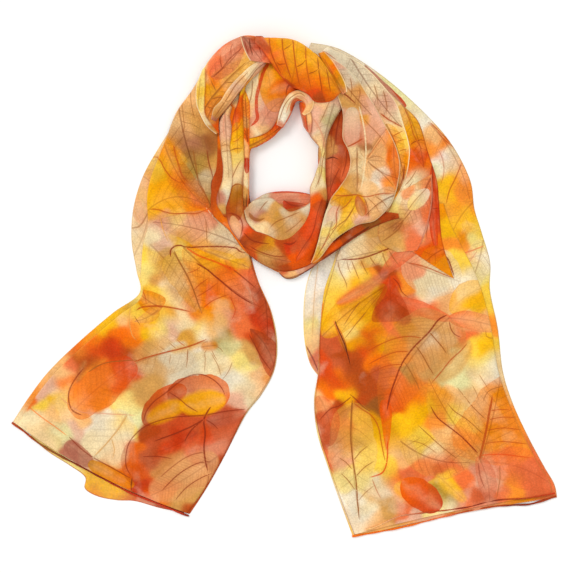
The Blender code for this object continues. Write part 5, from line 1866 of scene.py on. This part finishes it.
lay_ply(
    "twist_fold", "twist_roll",
    (
        (-8.6, 164.8, -2, 161.8, 12, 13, 9), (-5.6, 178.6, 5.6, 175.5, 13, 16, 11),
        (-1, 188.7, 7.6, 182.6, 15, 18, 12), (4.1, 196.4, 9, 186.2, 16, 19, 12),
        (12.2, 200.4, 12.2, 188.7, 16, 20, 13), (21.4, 199.9, 16.8, 188.7, 16, 20, 13),
        (28, 193.8, 19.9, 185.7, 16, 20, 14), (29.3, 185.2, 19.9, 182.1, 16, 20, 14),
        (26, 177.5, 18.3, 179.1, 15, 19, 14), (19.3, 174, 16.3, 176.5, 13, 15, 12),
    ),
    {
        "pale": (-1, 178, 6), "cream": (3, 189, 6), "peach": (14, 197, 6, 24, 182, 6),
        "pink": (24, 193, 6), "rose": (-6, 165, 4),
    },
    ((5, 180, 21, 183, 4.4, 6, "blunt", "orange", "rust", 0.85, 12, 0.1),),
    ((-1, 180, 19, 196, 5, 2.2, 1.4),),
    (
        (0.5, "brown", 0.75, (-6, 169, -1, 183, 6, 192, 15, 196, 22, 191)),
        (0.5, "rose", 0.75, (1, 176, 6, 188, 14, 193, 22, 189, 23, 182)),
    ),
    seed=15.0, edges=(("cream", 0.4), ("red_orange", 0.9)), lips=(2.2, 1.6), unevenness=0.15,
)


# Wrap: the folds that cross over the top of the loop. The left one comes up from beside
# the left tail with its own pale rim and a fold turned back on it, a valley lies next
# to it, and the right one, the highest, crosses to the right side.
lay_ply(
    "neck_left_fold", "neck_wrap",
    (
        (-70.2, 155.3, -67.2, 156.3, 14, 16, 14), (-78.4, 163.4, -67.7, 165.5, 13, 17, 15),
        (-85, 172.6, -66.2, 174.6, 12, 18, 15), (-89.1, 183.8, -61.1, 183.8, 11, 19, 16),
        (-90.6, 196, -51.9, 194, 11, 20, 17), (-89.6, 206.2, -41.7, 202.1, 11, 21, 18),
        (-86, 217.4, -33.6, 211.3, 11, 21, 18), (-79.4, 229.6, -25.4, 219.4, 10, 21, 19),
        (-71.8, 239.8, -19.3, 228.6, 10, 21, 19), (-62.1, 247.9, -21.4, 238.8, 10, 21, 19),
        (-51.9, 253.2, -25.4, 247.9, 10, 20, 19), (-42.7, 255.1, -27.5, 254, 10, 17, 18),
    ),
    {
        "peach": (-80, 214, 6), "pink": (-30, 231, 6), "rose": (-50, 249, 7),
        "salmon": (-70, 227, 7, -60, 239, 7), "coral": (-46, 239, 6), "yellow": (-38, 229, 6),
        "gold": (-48, 228, 6, -52, 214, 6, -79, 200, 7), "amber": (-62, 202, 7, -80, 184, 7),
        "light_orange": (-60, 225, 7), "orange": (-70, 212, 7, -74, 176, 6),
        "deep_orange": (-71, 163, 5), "tan": (-78, 170, 5), "ochre": (-72, 192, 7),
    },
    (
        (-84, 178, -30, 233, 16, 3, "ovate", "amber", "bright", 0.35, 8, 0.5),
        (-75, 212, -40, 249, 10, -3, "ovate", "salmon", "rose", 0.55, 7, 0.6),
        (-80, 167, -64, 194, 6, 2, "oval", "tan", "orange", 0.4, 6, 0.6),
    ),
    (
        (-84, 186, -54, 239, 6, 5, 2.0), (-68, 161, -23, 227, -5, 5, -2.0),
        (-48, 200, -17, 233, -2, 3, 1.4), (-72, 206, -36, 229, 2, 4, -1.2),
    ),
    (
        (0.6, "maroon", 0.6, (-73, 212, -64, 221, -54, 233, -42, 243)),
        (0.4, "maroon", 0.6, (-64, 221, -66, 231, -64, 239), (-54, 233, -55, 241, -52, 249)),
        (0.6, "brown", 0.75, (-83, 178, -76, 190, -64, 204, -50, 218, -38, 229)),
        (0.5, "brown", 0.75,
            (-76, 190, -68, 192, -60, 192), (-70, 198, -74, 206, -76, 212),
            (-62, 206, -54, 207, -46, 206), (-80, 183, -74, 181, -68, 178),
        ),
        (0.5, "rust", 0.75, (-82, 186, -83, 196, -80, 206)),
    ),
    seed=15.7, edges=(("pale_yellow", 0.65), ("rust", 0.3)), unevenness=0.35, ends=(0.0, 7.0),
)

# The rim's pale dyes are partly the cloth's own and partly a painted highlight where the fold
# turns over.
lay_ply(
    "neck_left_rim", "neck_wrap",
    (
        (-84.6, 220.6, -81, 223.7, 13, 14, 13), (-90.5, 204.3, -80.5, 202.3, 13, 15, 13),
        (-90.7, 188, -81.5, 184.9, 13, 15, 13), (-87.1, 176.8, -80.5, 173.7, 13, 15, 13),
        (-80, 163.5, -74.9, 165.1, 13, 15, 13), (-70.8, 155.4, -67.9, 156.4, 13, 14, 13),
    ),
    {
        "cream": (-81, 172, 5), "pale_yellow": (-87, 210, 5, -87, 184, 5), "butter": (-87, 196, 5),
        "tan": (-72, 159, 5),
    },
    ((-89, 178, -86, 212, 4, 0, "oval", "butter", "pale_yellow", 0.3, 5, 0.6),),
    seed=15.9, edges=(("pale", 0.7), ("rust", 0.75)), lips=(1.6, 1.2), unevenness=0.2,
    slot="pale_chiffon",
)

lay_ply(
    "neck_left_turnback", "neck_wrap",
    (
        (-20.3, 231.6, -17.8, 228.1, 18, 21, 18), (-34.5, 224, -28.4, 220, 18, 22, 18),
        (-42.6, 216.9, -34.5, 211.8, 18, 22, 18), (-50.8, 208.8, -40.6, 204.2, 17, 21, 17),
        (-58.9, 199, -46.7, 196.6, 16, 20, 16), (-65.5, 188.5, -54.3, 186.4, 15, 19, 15),
        (-72.6, 180.8, -63, 176.3, 15, 18, 14), (-75.2, 170.2, -70.6, 167.6, 14, 15, 14),
    ),
    {
        "cream": (-35, 219, 5), "peach": (-42, 211, 5, -55, 196, 6, -61, 185, 6),
        "pink": (-23, 228, 5, -48, 204, 5), "tan": (-68, 178, 5), "mauve": (-73, 171, 4),
    },
    ((-72, 169, -23, 230, 7, 0, "oval", "tan", "peach", 0.2, 8, 0.45),),
    lines=(
        (0.5, "brown", 0.75, (-72, 171, -62, 186, -50, 204, -36, 219)),
        (0.4, "brown", 0.75, (-62, 187, -56, 189, -53, 190)),
    ),
    seed=15.3, edges=(("cream", 0.4), ("maroon", 0.85)), lips=(1.8, 1.8), unevenness=0.25,
)

lay_ply(
    "neck_valley_ply", "neck_wrap",
    (
        (-45.7, 254, -23.3, 254, 15, 18, 19), (-42.6, 243.3, -20.3, 240.3, 17, 21, 20),
        (-39.1, 235.2, -15.2, 232.1, 19, 22, 20), (-35.5, 229.1, -13.2, 226, 20, 22, 20),
    ),
    {
        "pink": (-27, 231, 5), "salmon": (-19, 230, 5), "red_orange": (-29, 240, 5),
        "rust": (-30, 250, 5, -23, 244, 5), "mauve": (-43, 250, 5, -38, 242, 5),
    },
    ((-44, 256, -23, 228, 9, 0, "wedge", "mauve", "red_orange", 0.5, 6, 0.6),),
    lines=(
        (0.7, "dark", 0.75, (-36, 252, -35, 242, -32, 232)),
        (0.5, "maroon", 0.75, (-27, 252, -26, 242, -23, 232), (-41, 250, -39, 242, -36, 234)),
    ),
    seed=16.1, edges=(("cream", 0.85), ("maroon", 0.6)), unevenness=0.25, lips=(1.6, 2.0),
    ends=(7.0, 0.0),
)

lay_ply(
    "neck_right_edge_ply", "neck_wrap",
    (
        (33.6, 237.4, 40.7, 239.4, 14, 16, 13), (38.7, 227.2, 48.3, 230.3, 15, 18, 14),
        (44.8, 217.1, 53.9, 221.1, 17, 20, 15), (49.8, 207.9, 58.5, 213, 18, 21, 16),
        (54.2, 200.3, 61.9, 204.9, 18, 21, 17), (58, 194.7, 63.1, 197.7, 18, 20, 17),
    ),
    {
        "rose": (60, 198, 4), "amber": (40, 232, 5, 52, 215, 5), "orange": (46, 224, 5),
        "ochre": (57, 206, 5),
    },
    ((60, 196, 38, 234, 4, 0, "spear", "amber", "light_orange", 0.3, 6, 0.5),),
    seed=16.8, edges=(("maroon", 0.6), ("cream", 0.85)), unevenness=0.2, lips=(1.6, 1.6),
)

lay_ply(
    "neck_right_fold", "neck_wrap",
    (
        (-30.6, 247.1, -29.5, 254.2, 18, 22, 14), (-23.4, 240, -17.3, 254.8, 18, 24, 12),
        (-16.8, 230.3, -6.1, 254.8, 18, 26, 11), (-9.2, 219.9, 4.1, 254.4, 18, 26, 10),
        (-2, 211.4, 14.3, 251.2, 18, 27, 11), (6.1, 204.3, 24, 244.7, 18, 28, 13),
        (15.3, 199.2, 32.1, 237.1, 18, 28, 15), (23.5, 194.6, 38.7, 228.7, 19, 28, 17),
        (29.6, 188, 45.4, 218.6, 19, 28, 19), (38.7, 186.5, 50.5, 209.4, 19, 27, 20),
        (47.9, 188.5, 55, 200.2, 19, 26, 20), (54, 194.1, 57.1, 197.2, 19, 22, 20),
    ),
    {
        "coral": (-15, 237, 5), "yellow": (19, 227, 12, 28, 231, 6), "bright": (15, 241, 8),
        "gold": (1, 247, 6, 3, 231, 6, 34, 221, 6), "amber": (-13, 249, 6, 11, 219, 6, 48, 206, 4),
        "light_orange": (-9, 235, 6), "orange": (-3, 223, 5, 23, 212, 6, 36, 206, 6, 46, 193, 4),
        "deep_orange": (5, 210, 5, 17, 204, 5, 42, 198, 5), "red_orange": (30, 196, 5),
        "rust": (34, 189, 5), "brick": (-25, 249, 5),
    },
    (
        (5, 200, 13, 261, 33, -2, "heart", "orange", "yellow", 0.3, 12, 0.3),
        (58, 192, 15, 239, 15, -4, "ovate", "amber", "yellow", 0.25, 8, 0.3),
    ),
    (
        (-15, 247, 7, 206, 3, 5, 1.6), (25, 235, 15, 200, 3, 6, 2.0),
        (38, 225, 46, 186, 4, 5, 1.6), (3, 247, 5, 206, 0, 4, -1.8),
    ),
    (
        (0.6, "rust", 0.9,
            (-16, 253, -15, 241, -11, 229, -3, 214), (-3, 253, -2, 239, 1, 225, 7, 208),
            (8, 252, 9, 237, 11, 221, 15, 202),
        ),
        (0.6, "rust", 0.75, (21, 245, 21, 231, 23, 214, 27, 198)),
        (0.5, "maroon", 0.75,
            (33, 233, 34, 221, 36, 206, 38, 192), (-2, 239, 4, 243, 8, 247),
            (11, 221, 18, 225, 22, 231), (23, 214, 30, 217, 35, 221), (1, 225, -6, 225, -10, 229),
            (42, 221, 44, 208, 46, 194),
        ),
        (1.5, "rust", 0.75, (-1, 212, 5, 206, 13, 202)),
    ),
    seed=16.4, edges=(("red", 0.6), ("maroon", 0.6)), unevenness=0.35,
)
